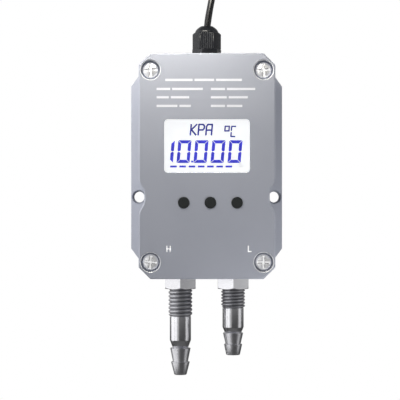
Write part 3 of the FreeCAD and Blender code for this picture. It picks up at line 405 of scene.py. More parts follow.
ALUMINIUM = cast_aluminium()
NICKEL = nickel("bright_nickel", (0.86, 0.86, 0.89), 0.23)
# Darker copies of the nickel for the thread: painted shade, darkest in its grooves.
THREAD_NICKEL_PAINTED_SHADE = nickel("thread_nickel_painted_shade", (0.63, 0.63, 0.66), 0.48)
GROOVE_NICKEL_PAINTED_SHADE = nickel("groove_nickel_painted_shade", (0.40, 0.40, 0.42), 0.4)
BARB_NICKEL = nickel("barb_nickel", (0.72, 0.72, 0.75), 0.36)
ZINC_PAINTED_GLOW = zinc_plate_with_painted_glow()
RECESS_PAINTED_SHADE = zinc_with_painted_shade()
RECESS_FLOOR_PAINTED_LIGHT = zinc_with_painted_light()
MACHINED = machined()
CLEAR = clear_plastic()
DISPLAY = lit_glass()
DIGIT_INK = lit_ink("digit_ink", (0.04, 0.045, 0.62), 0.5)
UNIT_INK = lit_ink("unit_ink", (0.045, 0.05, 0.36), 0.35)
FAINT_INK = lit_ink("faint_ink", (0.62, 0.63, 0.66), 0.5)
PRINT_PAINTED_GLOW = print_white_painted_glow()
SOFT_PRINT = soft_print()
JACKET = cable_jacket()
NYLON = moulded("black_nylon", (0.008, 0.009, 0.012), 0.29, grain=0.000005, spread=0.03)
BUTTON = moulded("button_black", (0.017, 0.02, 0.021), 0.55)
PAINTS = {
    "clear_window": CLEAR,
    "lcd_backlight": moulded("light_guide", (0.85, 0.86, 0.88), 0.4),
    "lcd_frame": moulded("tin_frame", (0.5, 0.5, 0.52), 0.35),
    "switch_black": moulded("switch_black", (0.04, 0.04, 0.042), 0.5),
    "board_green": moulded("solder_mask", (0.02, 0.16, 0.07), 0.35),
    "connector_white": moulded("natural_nylon", (0.75, 0.73, 0.64), 0.5),
    "ribbon_grey": moulded("ribbon_grey", (0.42, 0.42, 0.43), 0.5),
    "sensor_body": moulded("sensor_black", (0.05, 0.05, 0.055), 0.45),
    "silicone": moulded("silicone", (0.68, 0.69, 0.67), 0.42),
    "terminal_green": moulded("terminal_green", (0.02, 0.28, 0.12), 0.42),
    "rubber_black": moulded("black_rubber", (0.02, 0.02, 0.02), 0.7),
    "adhesive_black": moulded("foam_tape", (0.03, 0.03, 0.03), 0.85),
    "core_red": moulded("red_insulation", (0.42, 0.02, 0.015), 0.4),
    "core_black": moulded("black_insulation", (0.02, 0.02, 0.02), 0.4),
    "tie_black": moulded("tie_nylon", (0.02, 0.02, 0.021), 0.45),
    "ferrule_tin": ZINC_PAINTED_GLOW,
    "screw_steel": ZINC_PAINTED_GLOW,
    "nickel": NICKEL,
    "cast_aluminium": ALUMINIUM,
    "cable_sheath": JACKET,
    "gland_nylon": NYLON,
    "button_black": BUTTON,
    "lcd_glass": DISPLAY,
}


# ---- Housing, window and buttons -----------------------------------------------------------------

def paint_nodes():
    """Every CAD node that stays gets its slot's finish."""
    slots = {part["node"]: part["material_slot"] for part in frame["record"]["subparts"]}
    for name, node in frame["nodes"].items():
        node.data.materials.clear()
        node.data.materials.append(PAINTS[slots[name]])
    paint_second_core(frame["nodes"]["core_ends"].data)


def paint_second_core(mesh):
    """Black insulation on the right one of the two bare core ends."""
    mesh.materials.append(PAINTS["core_black"])
    group = list(range(len(mesh.vertices)))

    def root(k):
        while group[k] != k:
            k = group[k]
        return k

    def join(one, two):
        a, b = root(one), root(two)
        group[max(a, b)] = min(a, b)

    for edge in mesh.edges:
        join(*edge.vertices)
    spots = {}
    for vert in mesh.vertices:
        spot = tuple(round(c * 1e6) for c in vert.co)
        join(spots.setdefault(spot, vert.index), vert.index)
    cores = {}
    for face in mesh.polygons:
        cores.setdefault(root(face.vertices[0]), []).append(face)
    for face in max(cores.values(), key=lambda faces: max(f.center.x for f in faces)):
        face.material_index = 1


HEAD_R = 3.5 * MM
HEAD_HEIGHT = 2.5 * MM
COUNTERBORE_R = 4.6 * MM
MOUTH_CHAMFER = 0.35 * MM
LIP_GAP = 0.02 * MM         # between the lip's edges and the casting
BORE_AROUND = 96
SCREWS_LOW, SCREWS_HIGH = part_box("cover_screws")
SCREW_AXES = [(x, z) for x in (SCREWS_LOW.x + HEAD_R, SCREWS_HIGH.x - HEAD_R)
              for z in (SCREWS_HIGH.z - HEAD_R, SCREWS_LOW.z + HEAD_R)]


def build_counterbore_rims():
    """Chamfered bare-metal lip just inside the mouth of each counterbore."""
    profile = [(COUNTERBORE_R, LIP_GAP), (COUNTERBORE_R - MOUTH_CHAMFER, MOUTH_CHAMFER),
               (COUNTERBORE_R - LIP_GAP, MOUTH_CHAMFER * 1.6)]

    def build(bm):
        for x, z in SCREW_AXES:
            rings = [circle(bm, x, FACE_Y + sink, z, radius, BORE_AROUND)
                     for radius, sink in profile]
            for inner, outer in zip(rings, rings[1:] + rings[:1]):
                bridge(bm, inner, outer)
        bmesh.ops.recalc_face_normals(bm, faces=bm.faces)

    mesh = mesh_from("counterbore_rims", build)
    smooth_by_angle(mesh, 30)
    add_object("counterbore_rims", mesh, MACHINED)


def build_housing():
    """The dressed CAD shapes, and the lips of the counterbores."""
    dressed("housing_base", "cast_base", ALUMINIUM, bevel=0.25 * MM, angle=24)
    dressed("front_cover", "cast_cover", ALUMINIUM, bevel=0.2 * MM, angle=24)
    build_counterbore_rims()
    dressed("display_window", "window_pane", CLEAR, bevel=0.15 * MM)
    for side in ("left", "centre", "right"):
        dressed(f"button_{side}", f"push_button_{side}", BUTTON, angle=35)
    dressed("port_nuts_outer", "hexagon_nuts", NICKEL, bevel=0.2 * MM)
    dressed("gland_body", "gland_flange", NYLON, bevel=0.25 * MM)


# ---- Gland cap -----------------------------------------------------------------------------------

CAP_APOTHEM = 5.75 * MM
CAP_DOME_R, CAP_DOME_HEIGHT = 5.3 * MM, 2.7 * MM
CAP_CROWN_R, CAP_MOUTH_R, CAP_BORE_R = 2.8 * MM, 2.7 * MM, 1.6 * MM
CAP_THREAD_R, CAP_THREAD_LENGTH = 4.1 * MM, 4.8 * MM
CAP_AROUND, CAP_BEVEL_STEPS, CAP_DOME_STEPS = 396, 6, 18
RIB_PITCH, RIB_DEPTH, RIB_FREE = 0.95 * MM, 0.2 * MM, 0.45 * MM     # no rib that near a corner


def cap_section(limit):
    """Ribbed hexagon as a radius by turn, kept inside a circle of radius limit."""
    half_face = CAP_APOTHEM / math.sqrt(3)

    def radius(turn):
        local = (turn * 360.0) % 60.0 - 30.0
        across = CAP_APOTHEM * math.tan(math.radians(local))
        inset = 0.0
        if abs(across) < half_face - RIB_FREE:
            inset = RIB_DEPTH * (0.5 + 0.5 * math.cos(TURN * across / RIB_PITCH))
        return min((CAP_APOTHEM - inset) / math.cos(math.radians(local)), limit)
    return radius


def build_gland_cap():
    """Ribbed hexagon nut with a bevelled shoulder, a dome and a flared mouth."""
    low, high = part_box("gland_nut")
    shoulder = high.z - CAP_DOME_HEIGHT
    corner = CAP_APOTHEM * 2 / math.sqrt(3) - 0.12 * MM
    bevel = (corner - CAP_DOME_R) * 0.8
    rows = [(low.z, CAP_THREAD_R), (low.z, cap_section(corner - 0.15 * MM)),
            (low.z + 0.15 * MM, cap_section(corner))]
    for share in (k / CAP_BEVEL_STEPS for k in range(CAP_BEVEL_STEPS + 1)):
        rows.append((shoulder - bevel * (1 - share),
                     cap_section(corner + (CAP_DOME_R - corner) * share)))
    for share in (k / CAP_DOME_STEPS for k in range(CAP_DOME_STEPS + 1)):
        rows.append((shoulder + CAP_DOME_HEIGHT * share,
                     CAP_CROWN_R + (CAP_DOME_R - 0.04 * MM - CAP_CROWN_R) * (1 - share ** 1.8)))
    rows += [(high.z, CAP_MOUTH_R), (shoulder, CAP_BORE_R), (shoulder - 0.5 * MM, CAP_BORE_R),
             (shoulder - 0.5 * MM, CAP_THREAD_R - 1.2 * MM),
             (low.z + CAP_THREAD_LENGTH, CAP_THREAD_R), (low.z, CAP_THREAD_R)]
    mesh = lathe("gland_cap", rows, GLAND.x, GLAND.y, CAP_AROUND)
    smooth_by_angle(mesh, 48)
    add_object("gland_cap", mesh, NYLON, replaces=("gland_nut",))


# ---- Screws --------------------------------------------------------------------------------------

SHANK_R = 1.75 * MM
SHANK_AROUND = 32
TWISTS = (0.06, -0.1, 0.12, -0.03)      # how far each cross is turned
# What counts as recess: sunk this far under the dome, this high over the seat, this far out
RECESS_SUNK, RECESS_RISE, RECESS_R = 0.05 * MM, 0.6 * MM, 0.85 * HEAD_R
RECESS_STEEP = 0.72                     # below this share of facing forward it is a side
CROSS_REACH, CROSS_BLADE = 2.75 * MM, 0.62 * MM
CROSS_DEPTH, CROSS_EDGE, CROSS_HUB_R = 0.9 * MM, 0.16 * MM, 0.95 * MM


def cross_depth(u, v):
    """Depth of the cross recess at a point of the head, deepest at the centre."""
    best = 0.0
    for along, across in ((abs(u), abs(v)), (abs(v), abs(u))):
        width = CROSS_BLADE * (1.0 - 0.25 * along / CROSS_REACH)
        inside = clamp((width - across) / CROSS_EDGE + 0.5)
        ends = clamp((CROSS_REACH - along) / (0.55 * CROSS_REACH))
        best = max(best, inside * ends ** 0.6)
    hub = clamp((CROSS_HUB_R - math.hypot(u, v)) / (2 * CROSS_EDGE))
    return CROSS_DEPTH * max(best, 0.75 * hub)


def crown_drop(r):
    """How far the domed top has fallen at a radius."""
    return 0.40 * HEAD_HEIGHT * (r / HEAD_R) ** 2


DOME_STEPS, DOME_SHARE = 34, 0.94       # rings across the dome, and how far out it goes
RIM = [(0.965, 0.44), (0.988, 0.52), (1.0, 0.64), (1.0, 1.0)]   # shares of radius and height


def screw_head(bm, x, z, seat_y, twist):
    """Pan head: low dome, rounded rim and straight side, with its recess turned by twist."""
    dome = [HEAD_R * (i / DOME_STEPS) * DOME_SHARE for i in range(1, DOME_STEPS + 1)]
    profile = [(r, crown_drop(r)) for r in dome] + [(HEAD_R * r, HEAD_HEIGHT * h) for r, h in RIM]
    top = seat_y - HEAD_HEIGHT
    rows = []
    for r, drop in profile:
        row = []
        for k in range(BORE_AROUND):
            angle = TURN * k / BORE_AROUND
            u, v = r * math.cos(angle), r * math.sin(angle)
            du = u * math.cos(twist) - v * math.sin(twist)
            dv = u * math.sin(twist) + v * math.cos(twist)
            row.append(bm.verts.new((x + du, top + drop + cross_depth(u, v), z + dv)))
        rows.append(row)
    middle = bm.verts.new((x, top + cross_depth(0, 0), z))
    for k in range(BORE_AROUND):
        bm.faces.new((middle, rows[0][k], rows[0][(k + 1) % BORE_AROUND]))
    for inner, outer in zip(rows, rows[1:]):
        bridge(bm, inner, outer)
    bm.faces.new(rows[-1])


def screw_shank(bm, x, z, y0, y1):
    """Plain shank between two depths."""
    ends = [circle(bm, x, y, z, SHANK_R, SHANK_AROUND) for y in (y0, y1)]
    bridge(bm, *ends)
    for end in ends:
        bm.faces.new(end)


def build_screws():
    """Four cover screws as one piece, with painted shade and painted light in their crosses."""
    seat = SCREWS_LOW.y + HEAD_HEIGHT

    def build(bm):
        for (x, z), twist in zip(SCREW_AXES, TWISTS):
            screw_head(bm, x, z, seat, twist)
            screw_shank(bm, x, z, seat - 0.1 * MM, SCREWS_HIGH.y)
        bmesh.ops.recalc_face_normals(bm, faces=bm.faces)

    mesh = mesh_from("cover_screw_set", build)
    smooth_by_angle(mesh, 40)
    for material in (ZINC_PAINTED_GLOW, RECESS_PAINTED_SHADE, RECESS_FLOOR_PAINTED_LIGHT):
        mesh.materials.append(material)
    # Recess sides get the painted shade, recess floors the painted light.
    for face in mesh.polygons:
        out = min(math.hypot(face.center.x - x, face.center.z - z) for x, z in SCREW_AXES)
        sunk = face.center.y - (seat - HEAD_HEIGHT) - crown_drop(out)
        if face.center.y < seat - RECESS_RISE and out < RECESS_R and sunk > RECESS_SUNK:
            face.material_index = 1 if abs(face.normal.y) < RECESS_STEEP else 2
    add_object("cover_screw_set", mesh, None, replaces=("cover_screws",))


# ---- Pressure ports ------------------------------------------------------------------------------

THREAD_STEPS = 20           # rings in one turn of thread
THREAD_FADE = 0.4           # of a turn, at each end
PORT_AROUND = 128
# Sizes that both fittings share, in mm
STEM_R, STEM_BORE_R, STEM_LENGTH = 1.95, 1.1, 6.0
CREST_R, ROOT_R, GROOVE_R = 5.45, 4.72, 5.02    # a groove is what lies under GROOVE_R
SHANK_TOP_R, SHANK_LOW_R = 4.86, 4.83
BORE_R, BORE_DEPTH = 1.75, 22.0


def thread_rows(top, length, pitch):
    """Rings down a right-hand helical thread that fades in and out at its ends."""
    steps = int(length / pitch * THREAD_STEPS)
    rows = []
    for i in range(steps + 1):
        z = top - length * i / steps
        ends = clamp(min(top - z, z - (top - length)) / (THREAD_FADE * pitch))

        def radius(turn, z=z, ends=ends):
            wave = 0.5 + 0.5 * math.cos(TURN * ((top - z) / pitch + turn))
            return (ROOT_R + (CREST_R - ROOT_R) * ends * (1 - wave ** 2.4)) * MM
        rows.append((z, radius))
    return rows


def build_port(name, node, middle, nut, thread, pitch, shank, taper, neck_r, barb_r, foot_r, barb,
               tip_top_r, tip_r):
    """Turned fitting: hidden stem, helical thread, shank, neck, two barbs and open bore.

    Its sizes are in mm, from the housing down.
    """
    low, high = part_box(node)
    rows = []

    def rings(level, *steps):
        """Rings at heights in mm above a level, with their radii in mm."""
        rows.extend((level + up * MM, r * MM) for up, r in steps)

    thread_top = HOUSING_BOTTOM - nut * MM
    thread_low = thread_top - thread * MM
    shank_low = thread_low - shank * MM
    neck_z = shank_low - taper * MM
    barb_low = neck_z - barb * MM
    rings(high.z, (0, STEM_BORE_R), (0, STEM_R - 0.1), (-0.1, STEM_R), (-STEM_LENGTH, STEM_R),
          (-STEM_LENGTH, CREST_R - 0.15), (-STEM_LENGTH - 0.15, CREST_R))
    rings(thread_top, (0.2, CREST_R), (0.1, ROOT_R + 0.08))
    rows += thread_rows(thread_top, thread * MM, pitch * MM)
    rings(thread_low, (-0.02, ROOT_R), (-0.16, ROOT_R + 0.08), (-0.26, SHANK_TOP_R))
    rings(shank_low, (0.25, SHANK_TOP_R + 0.01), (0, SHANK_LOW_R), (-0.2, ROOT_R))
    rings(neck_z, (0.25, neck_r + 0.14), (0.04, neck_r), (-0.06, neck_r), (-0.10, barb_r - 0.10),
          (-0.16, barb_r), (-0.28, barb_r))
    rings(barb_low, (0.06, foot_r), (-0.04, foot_r), (-0.08, tip_top_r - 0.08),
          (-0.14, tip_top_r), (-0.26, tip_top_r))
    rings(low.z, (0.35, tip_r + 0.1), (0.1, tip_r - 0.03), (0, tip_r - 0.2), (0, BORE_R + 0.2),
          (0.15, BORE_R), (BORE_DEPTH, BORE_R), (BORE_DEPTH + 1, STEM_BORE_R))
    rings(high.z, (0, STEM_BORE_R))
    mesh = lathe(name, rows, middle.x, middle.y, PORT_AROUND)
    smooth_by_angle(mesh, 22)
    for material in (NICKEL, THREAD_NICKEL_PAINTED_SHADE, BARB_NICKEL, GROOVE_NICKEL_PAINTED_SHADE):
        mesh.materials.append(material)
    # Thread faces get painted shade, and the grooves a darker painted shade.
    for face in mesh.polygons:
        if thread_low < face.center.z < thread_top:
            out = math.hypot(face.center.x - middle.x, face.center.y - middle.y)
            face.material_index = 3 if out < GROOVE_R * MM else 1
        elif face.center.z < neck_z:
            face.material_index = 2
    add_object(name, mesh, None, replaces=(node,))


def build_ports():
    """The high fitting, which is the longer one, and the low one."""
    build_port("barbed_port_high", "port_fitting_high", PORT_HIGH, nut=5.7, thread=12.6,
               pitch=1.75, shank=11.1, taper=3.5, neck_r=3.45, barb_r=4.65, foot_r=3.45,
               barb=6.3, tip_top_r=4.25, tip_r=2.8)
    build_port("barbed_port_low", "port_fitting_low", PORT_LOW, nut=5.7, thread=8.7,
               pitch=1.45, shank=9.0, taper=2.5, neck_r=3.75, barb_r=4.6, foot_r=3.5,
               barb=5.2, tip_top_r=4.15, tip_r=3.1)


# ---- Display -------------------------------------------------------------------------------------

DIGITS = {"0": "abcdef", "1": "bc"}
SLANT = 0.09
INK_LIFT = 0.03 * MM
GLASS_GAP = 0.01 * MM       # between the ink and the glass
# From the glass's centre, in mm
DIGIT_BASE, DIGIT_HEIGHT, DIGIT_WIDTH, DIGIT_STROKE, DIGIT_GAP = -7.5, 10.1, 5.85, 1.42, 0.13
DIGIT_ROW = [("1", -21.0)] + [("0", -13.6 + 7.56 * k) for k in range(4)]
POINT_X, POINT_RISE, POINT_SIDE = -7.05, 0.2, 0.85
DASHES, DASH_X, DASH_Z, DASH_PITCH, DASH_LENGTH, DASH_HEIGHT = 7, -16.4, -9.5, 4.1, 2.95, 0.85
# Letter, lower left corner, width, height and half its stroke
UNIT_ROW = [("K", -7.4, 4.95, 2.6, 4.65, 0.37), ("P", -3.95, 4.95, 2.6, 4.65, 0.37),
            ("A", -0.5, 4.95, 2.6, 4.65, 0.37), ("o", 7.75, 4.7, 2.6, 4.1, 0.32),
            ("C", 10.6, 4.25, 2.0, 4.5, 0.32)]
PERCENT_DOTS, PERCENT_DOT_SIDE = [(14.2, -8.2), (15.3, -9.4)], 0.5
PERCENT_STROKE, PERCENT_STROKE_HALF = [(14.4, -9.4), (15.5, -7.9)], 0.16


def slanted(points, x, z):
    """Points of a figure, leaning right, with its lower left corner at (x, z)."""
    return [(x + u + v * SLANT, z + v) for u, v in points]


def digit_shapes(digit, x, z, width, height, thick, gap):
    """Mitred segments of one slanted digit with its lower left corner at (x, z)."""
    low = [(gap, 0), (width - gap, 0), (width - thick - gap, thick), (thick + gap, thick)]
    foot = height / 2 - gap
    side = [(0, gap), (thick, thick + gap), (thick, foot - thick * 0.3), (thick * 0.55, foot),
            (thick * 0.2, foot), (0, foot - thick * 0.3)]
    right = [(width - u, v) for u, v in side]
    segments = {"a": [(u, height - v) for u, v in low], "b": [(u, height - v) for u, v in right],
                "c": right, "d": low, "e": side, "f": [(u, height - v) for u, v in side]}
    return [slanted(segments[name], x, z) for name in DIGITS[digit]]


def stroke(start, end, half):
    """Plain straight stroke of a letter."""
    a, b = Vector(start), Vector(end)
    way = (b - a).normalized()
    along = way * half * 0.6
    across = Vector((-way.y, way.x)) * half
    a, b = a - along, b + along
    return [tuple(p) for p in (a + across, b + across, b - across, a - across)]


# Strokes of each letter, in shares of its width and height
UNIT_STROKES = {
    "K": [((0, 0), (0, 1)), ((0.08, 0.48), (0.95, 1)), ((0.08, 0.52), (0.95, 0))],
    "P": [((0, 0), (0, 1)), ((0, 1), (0.75, 1)), ((0.75, 1), (0.95, 0.84)),
          ((0.95, 0.84), (0.95, 0.64)), ((0.95, 0.64), (0.75, 0.48)), ((0.75, 0.48), (0, 0.48))],
    "A": [((0, 0), (0, 0.82)), ((0, 0.82), (0.2, 1)), ((0.2, 1), (0.95, 1)), ((0.95, 1), (0.95, 0)),
          ((0, 0.46), (0.95, 0.46))],
    "o": [((0, 0.5), (0, 1)), ((0, 1), (0.7, 1)), ((0.7, 1), (0.7, 0.5)), ((0.7, 0.5), (0, 0.5))],
    "C": [((0.9, 1), (0, 1)), ((0, 0.95), (0, 0.60)), ((0, 0.40), (0, 0.06)), ((0, 0), (0.9, 0))],
}


def letter_shapes(letter, x, z, width, height, half):
    """Slanted strokes of one letter, with its lower left corner at (x, z)."""
    return [slanted(stroke((a[0] * width, a[1] * height), (b[0] * width, b[1] * height), half),
                    x, z) for a, b in UNIT_STROKES[letter]]


def print_piece(name, shapes, y, thickness, material):
    """All the shapes as one thin piece in front of a face at depth y."""
    def build(bm):
        for points in shapes:
            polygon_plate(bm, points, y, thickness)
    add_object(name, mesh_from(name, build), material)


def build_display():
    """Lit glass with slanted digits, unit symbols and a row of dashes."""
    dressed("lcd_panel", "lit_glass", DISPLAY, bevel=0.1 * MM)
    x0 = (LCD_LOW.x + LCD_HIGH.x) / 2
    z0 = (LCD_LOW.z + LCD_HIGH.z) / 2

    def placed(x, z):
        return x0 + x * MM, z0 + z * MM

    def ink(name, shapes, material):
        print_piece(name, shapes, LCD_LOW.y - GLASS_GAP, INK_LIFT, material)

    digits = []
    for digit, x in DIGIT_ROW:
        digits += digit_shapes(digit, *placed(x, DIGIT_BASE), DIGIT_WIDTH * MM, DIGIT_HEIGHT * MM,
                               DIGIT_STROKE * MM, DIGIT_GAP * MM)
    digits.append(bar(*placed(POINT_X, DIGIT_BASE + POINT_RISE), POINT_SIDE * MM, POINT_SIDE * MM))
    for k in range(DASHES):
        digits.append(bar(*placed(DASH_X + DASH_PITCH * k, DASH_Z), DASH_LENGTH * MM,
                          DASH_HEIGHT * MM, SLANT))
    ink("display_digits", digits, DIGIT_INK)
    units = []
    for letter, x, z, width, height, half in UNIT_ROW:
        units += letter_shapes(letter, *placed(x, z), width * MM, height * MM, half * MM)
    ink("display_units", units, UNIT_INK)
    mark = [bar(*placed(x, z), PERCENT_DOT_SIDE * MM, PERCENT_DOT_SIDE * MM)
            for x, z in PERCENT_DOTS]
    start, end = (placed(x, z) for x, z in PERCENT_STROKE)
    ink("display_percent", mark + [stroke(start, end, PERCENT_STROKE_HALF * MM)], FAINT_INK)


# ---- Print on the cover --------------------------------------------------------------------------

PRINT_LIFT = 0.02 * MM
# From the cover's centre, in mm
LETTERS_Z, HIGH_X, LOW_X = -38.0, -17.0, 19.0
LETTER_HEIGHT, LETTER_WIDTH, LETTER_STROKE = 2.8, 1.95, 0.5


def build_port_letters():
    """H and L beside the ports."""
    tall, wide, line = LETTER_HEIGHT * MM, LETTER_WIDTH * MM, LETTER_STROKE * MM
    z = COVER_CENTRE.z + LETTERS_Z * MM
    x_high, x_low = (COVER_CENTRE.x + x * MM - wide / 2 for x in (HIGH_X, LOW_X))
    high = [bar(x_high, z, line, tall), bar(x_high + wide - line, z, line, tall),
            bar(x_high, z + (tall - line) / 2, wide, line)]
    low = [bar(x_low, z, line, tall), bar(x_low, z, wide * 0.85, line)]
    print_piece("port_letters", high + low, FACE_Y, PRINT_LIFT, PRINT_PAINTED_GLOW)


# From the cover's centre, in mm: where a row starts, its height and the lengths of its bars
LEGEND_ROWS = [
    (-18.4, 38.1, (12.0, 8.6, 11.4)),
    (-22.3, 34.1, (6.0, 13.5)), (1.7, 34.1, (6.2, 12.5)),
    (-22.3, 30.4, (5.4, 8.1)), (1.7, 30.4, (7.0, 8.4)),
    (-22.3, 26.6, (9.2, 5.0)), (1.7, 26.6, (6.2, 6.8)),
]
LEGEND_GAP = 0.9
LEGEND_HEIGHT = 1.0


def build_legend_bars():
    """Rows of plain bars in place of a printed legend."""
    shapes = []
    for x, z, lengths in LEGEND_ROWS:
        for length in lengths:
            shapes.append(bar(COVER_CENTRE.x + x * MM,
                              COVER_CENTRE.z + (z - LEGEND_HEIGHT / 2) * MM,
                              length * MM, LEGEND_HEIGHT * MM))
            x += length + LEGEND_GAP
    print_piece("legend_bars", shapes, FACE_Y, PRINT_LIFT, SOFT_PRINT)


# ---- Cable ---------------------------------------------------------------------------------------

CABLE_D = 3.0 * MM
# The free cable, in mm: out of the gland, over the top and down behind the housing to the coil
ROUTE = [
    (0.0, -24.0, 73.3),
    (0.0, -24.0, 79.0),
    (2.18, -24.6, 90.0),
    (4.61, -23.8, 103.2),
    (6.3, -13.8, 113.3),
    (6.06, 0.5, 113.3),
    (4.01, 10.6, 103.2),
    (1.19, 11.0, 88.0),
    (-0.5, 10.3, 74.0),
    (-6.0, 10.1, 60.0),
    (-13.6, 10.0, 44.5),
]
# From the coil to the bare end, in mm
TAIL = [
    (-16.6, 12.4, 15.0),
    (-14.2, 11.8, 3.2),
    (-9.4, 11.0, -7.0),
]
# The coil's sizes, in mm
COIL_CENTRE = (0.0, 10.0, 28.0)
COIL_MID_R = 16.5
COIL_STEPS = 16             # points in a turn
TURN_PITCH = 3.1
# Turn by turn, the strand's place in the bundle: along the axis, then outward, in pitches
COIL_CELLS = [(0, 0), (0, -1), (-1, -1), (-1, 0), (-1, 1), (0, 1), (1, 1), (1, 0)]
SHIFT_START = 0.6           # of a turn, after which a strand shifts over to its next place


def coil_strand(i):
    """Where the strand is, i steps into the coil.

    At the end of each turn it shifts over to its next place in the bundle.
    """
    x, y, z = COIL_CENTRE
    turn = int(i // COIL_STEPS)
    here, after = (COIL_CELLS[min(k, len(COIL_CELLS) - 1)] for k in (turn, turn + 1))
    share = max(0.0, i / COIL_STEPS - turn - SHIFT_START) / (1 - SHIFT_START)
    share = share * share * (3 - 2 * share)
    along, outward = (a + (b - a) * share for a, b in zip(here, after))
    radius = COIL_MID_R + outward * TURN_PITCH
    angle = math.pi + TURN * i / COIL_STEPS
    return (x + radius * math.cos(angle), y + along * TURN_PITCH, z + radius * math.sin(angle))


def coil_turns():
    """Turns that start and end at the coil's left, heading down."""
    return [coil_strand(i) for i in range(len(COIL_CELLS) * COIL_STEPS + 1)]


# The strap, in mm
TIE_WIDTH, TIE_THICKNESS, TIE_EDGE = 2.5, 0.8, 0.15
TIE_CLEARANCE = 0.06
TIE_HEAD = (3.7, 4.4, 1.8)      # across the strap, along it, and above it
TIE_END = 2.0                   # length of the cut end, a quarter of it inside the head
TIE_AROUND = 120


def strap_ring(clearance):
    """Tight loop round the bundle at the top of the coil: its distance from the bundle's middle."""
    top = COIL_STEPS * 3 // 4
    centres = [coil_strand(turn * COIL_STEPS + top + shift)[1:]
               for turn in range(len(COIL_CELLS)) for shift in (-0.2, 0.0, 0.2)]
    mid_y, mid_z = COIL_CENTRE[1], COIL_CENTRE[2] + COIL_MID_R
    ways = [TURN * k / TIE_AROUND for k in range(TIE_AROUND)]
    support = [max((y - mid_y) * math.cos(w) + (z - mid_z) * math.sin(w) for y, z in centres)
               + CABLE_D / MM / 2 + clearance for w in ways]
    return [min(h / math.cos(w - way) for h, w in zip(support, ways)
                if math.cos(w - way) > 0.2) for way in ways]


def rounded_block(bm, middle, size):
    """Block with softened edges; its middle and size are in mm."""
    made = bmesh.ops.create_cube(bm, size=1.0)["verts"]
    for vert in made:
        vert.co = [(m + c * side) * MM for m, c, side in zip(middle, vert.co, size)]
    edges = {edge for vert in made for edge in vert.link_edges}
    bmesh.ops.bevel(bm, geom=list(edges), offset=0.2 * MM, segments=2, affect="EDGES",
                    profile=0.5)


def build_tie():
    """Strap drawn tight round the bundle at the top of the coil, with its head and cut end."""
    inner, outer = (strap_ring(TIE_CLEARANCE + up) for up in (0.0, TIE_THICKNESS))
    mid_y, mid_z = COIL_CENTRE[1], COIL_CENTRE[2] + COIL_MID_R
    half = TIE_WIDTH / 2

    def build(bm):
        loops = []
        for x, rim, less in ((-half, inner, 0), (-half, outer, TIE_EDGE),
                             (TIE_EDGE - half, outer, 0), (half - TIE_EDGE, outer, 0),
                             (half, outer, TIE_EDGE), (half, inner, 0)):
            loops.append([bm.verts.new((
                x * MM, (mid_y + (r - less) * math.cos(TURN * k / TIE_AROUND)) * MM,
                (mid_z + (r - less) * math.sin(TURN * k / TIE_AROUND)) * MM))
                for k, r in enumerate(rim)])
        for one, two in zip(loops, loops[1:] + loops[:1]):
            bridge(bm, one, two)
        seat = mid_z + inner[TIE_AROUND // 4] + 0.1
        wide, long, rise = TIE_HEAD
        rounded_block(bm, (0.0, mid_y, seat + (TIE_THICKNESS + rise) / 2),
                      (wide, long, TIE_THICKNESS + rise))
        rounded_block(bm, (0.0, mid_y + long / 2 + 0.5, seat + TIE_THICKNESS + 0.5),
                      (TIE_WIDTH * 0.9, TIE_END, TIE_THICKNESS))
        bmesh.ops.recalc_face_normals(bm, faces=bm.faces)

    mesh = mesh_from("bundle_tie", build)
    smooth_by_angle(mesh, 35)
    add_object("bundle_tie", mesh, PAINTS["tie_black"], replaces=("cable_tie",))


def build_cable():
    """The tie, and the whole lead as one smooth curve, in and out of its coil."""
    build_tie()
    curve = bpy.data.curves.new("lead", "CURVE")
    curve.dimensions = "3D"
    curve.bevel_depth = CABLE_D / 2
    curve.bevel_resolution = 7
    curve.use_fill_caps = True
    spline = curve.splines.new("NURBS")
    points = ROUTE + coil_turns() + TAIL
    spline.points.add(len(points) - 1)
    for point, (x, y, z) in zip(spline.points, points):
        point.co = (x * MM, y * MM, z * MM, 1.0)
    spline.order_u = 3
    spline.use_endpoint_u = True
    spline.resolution_u = 5
    lead = add_object("lead", curve, JACKET,
                      replaces=("cable_run", "cable_coil", "cable_tail"))


# ---- Stage, light and camera ---------------------------------------------------------------------

FLOOR_DROP = 0.9            # below the longer port
FLOOR_HALF = 6.0
FLOOR_GREY = (0.3, 0.3, 0.3)
ROOM_LEVEL = 0.17


def white_to_camera(material):
    """White wherever the camera looks at it, and lit plainly otherwise."""
    material.use_nodes = True
    nodes, links = material.node_tree.nodes, material.node_tree.links
    nodes.clear()
    out = nodes.new("ShaderNodeOutputMaterial")
    mix = nodes.new("ShaderNodeMixShader")
    plain = nodes.new("ShaderNodeBsdfDiffuse")
    plain.inputs["Color"].default_value = (*FLOOR_GREY, 1.0)
    glow = nodes.new("ShaderNodeEmission")
    glow.inputs["Strength"].default_value = 1.0
    path = nodes.new("ShaderNodeLightPath")
    links.new(path.outputs["Is Camera Ray"], mix.inputs["Fac"])
    links.new(plain.outputs["BSDF"], mix.inputs[1])
    links.new(glow.outputs["Emission"], mix.inputs[2])
    links.new(mix.outputs["Shader"], out.inputs["Surface"])


def build_floor():
    """Pale floor, well below the part, which hangs on a wall in use."""
    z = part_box("port_fitting_high")[0].z - FLOOR_DROP

    def build(bm):
        bm.faces.new([bm.verts.new((x * FLOOR_HALF, y * FLOOR_HALF, z))
                      for x, y in ((-1, -1), (1, -1), (1, 1), (-1, 1))])

    floor = bpy.data.objects.new("floor", mesh_from("floor", build))
    bpy.context.scene.collection.objects.link(floor)
    material = bpy.data.materials.new("pale_floor")
    white_to_camera(material)
    floor.data.materials.append(material)


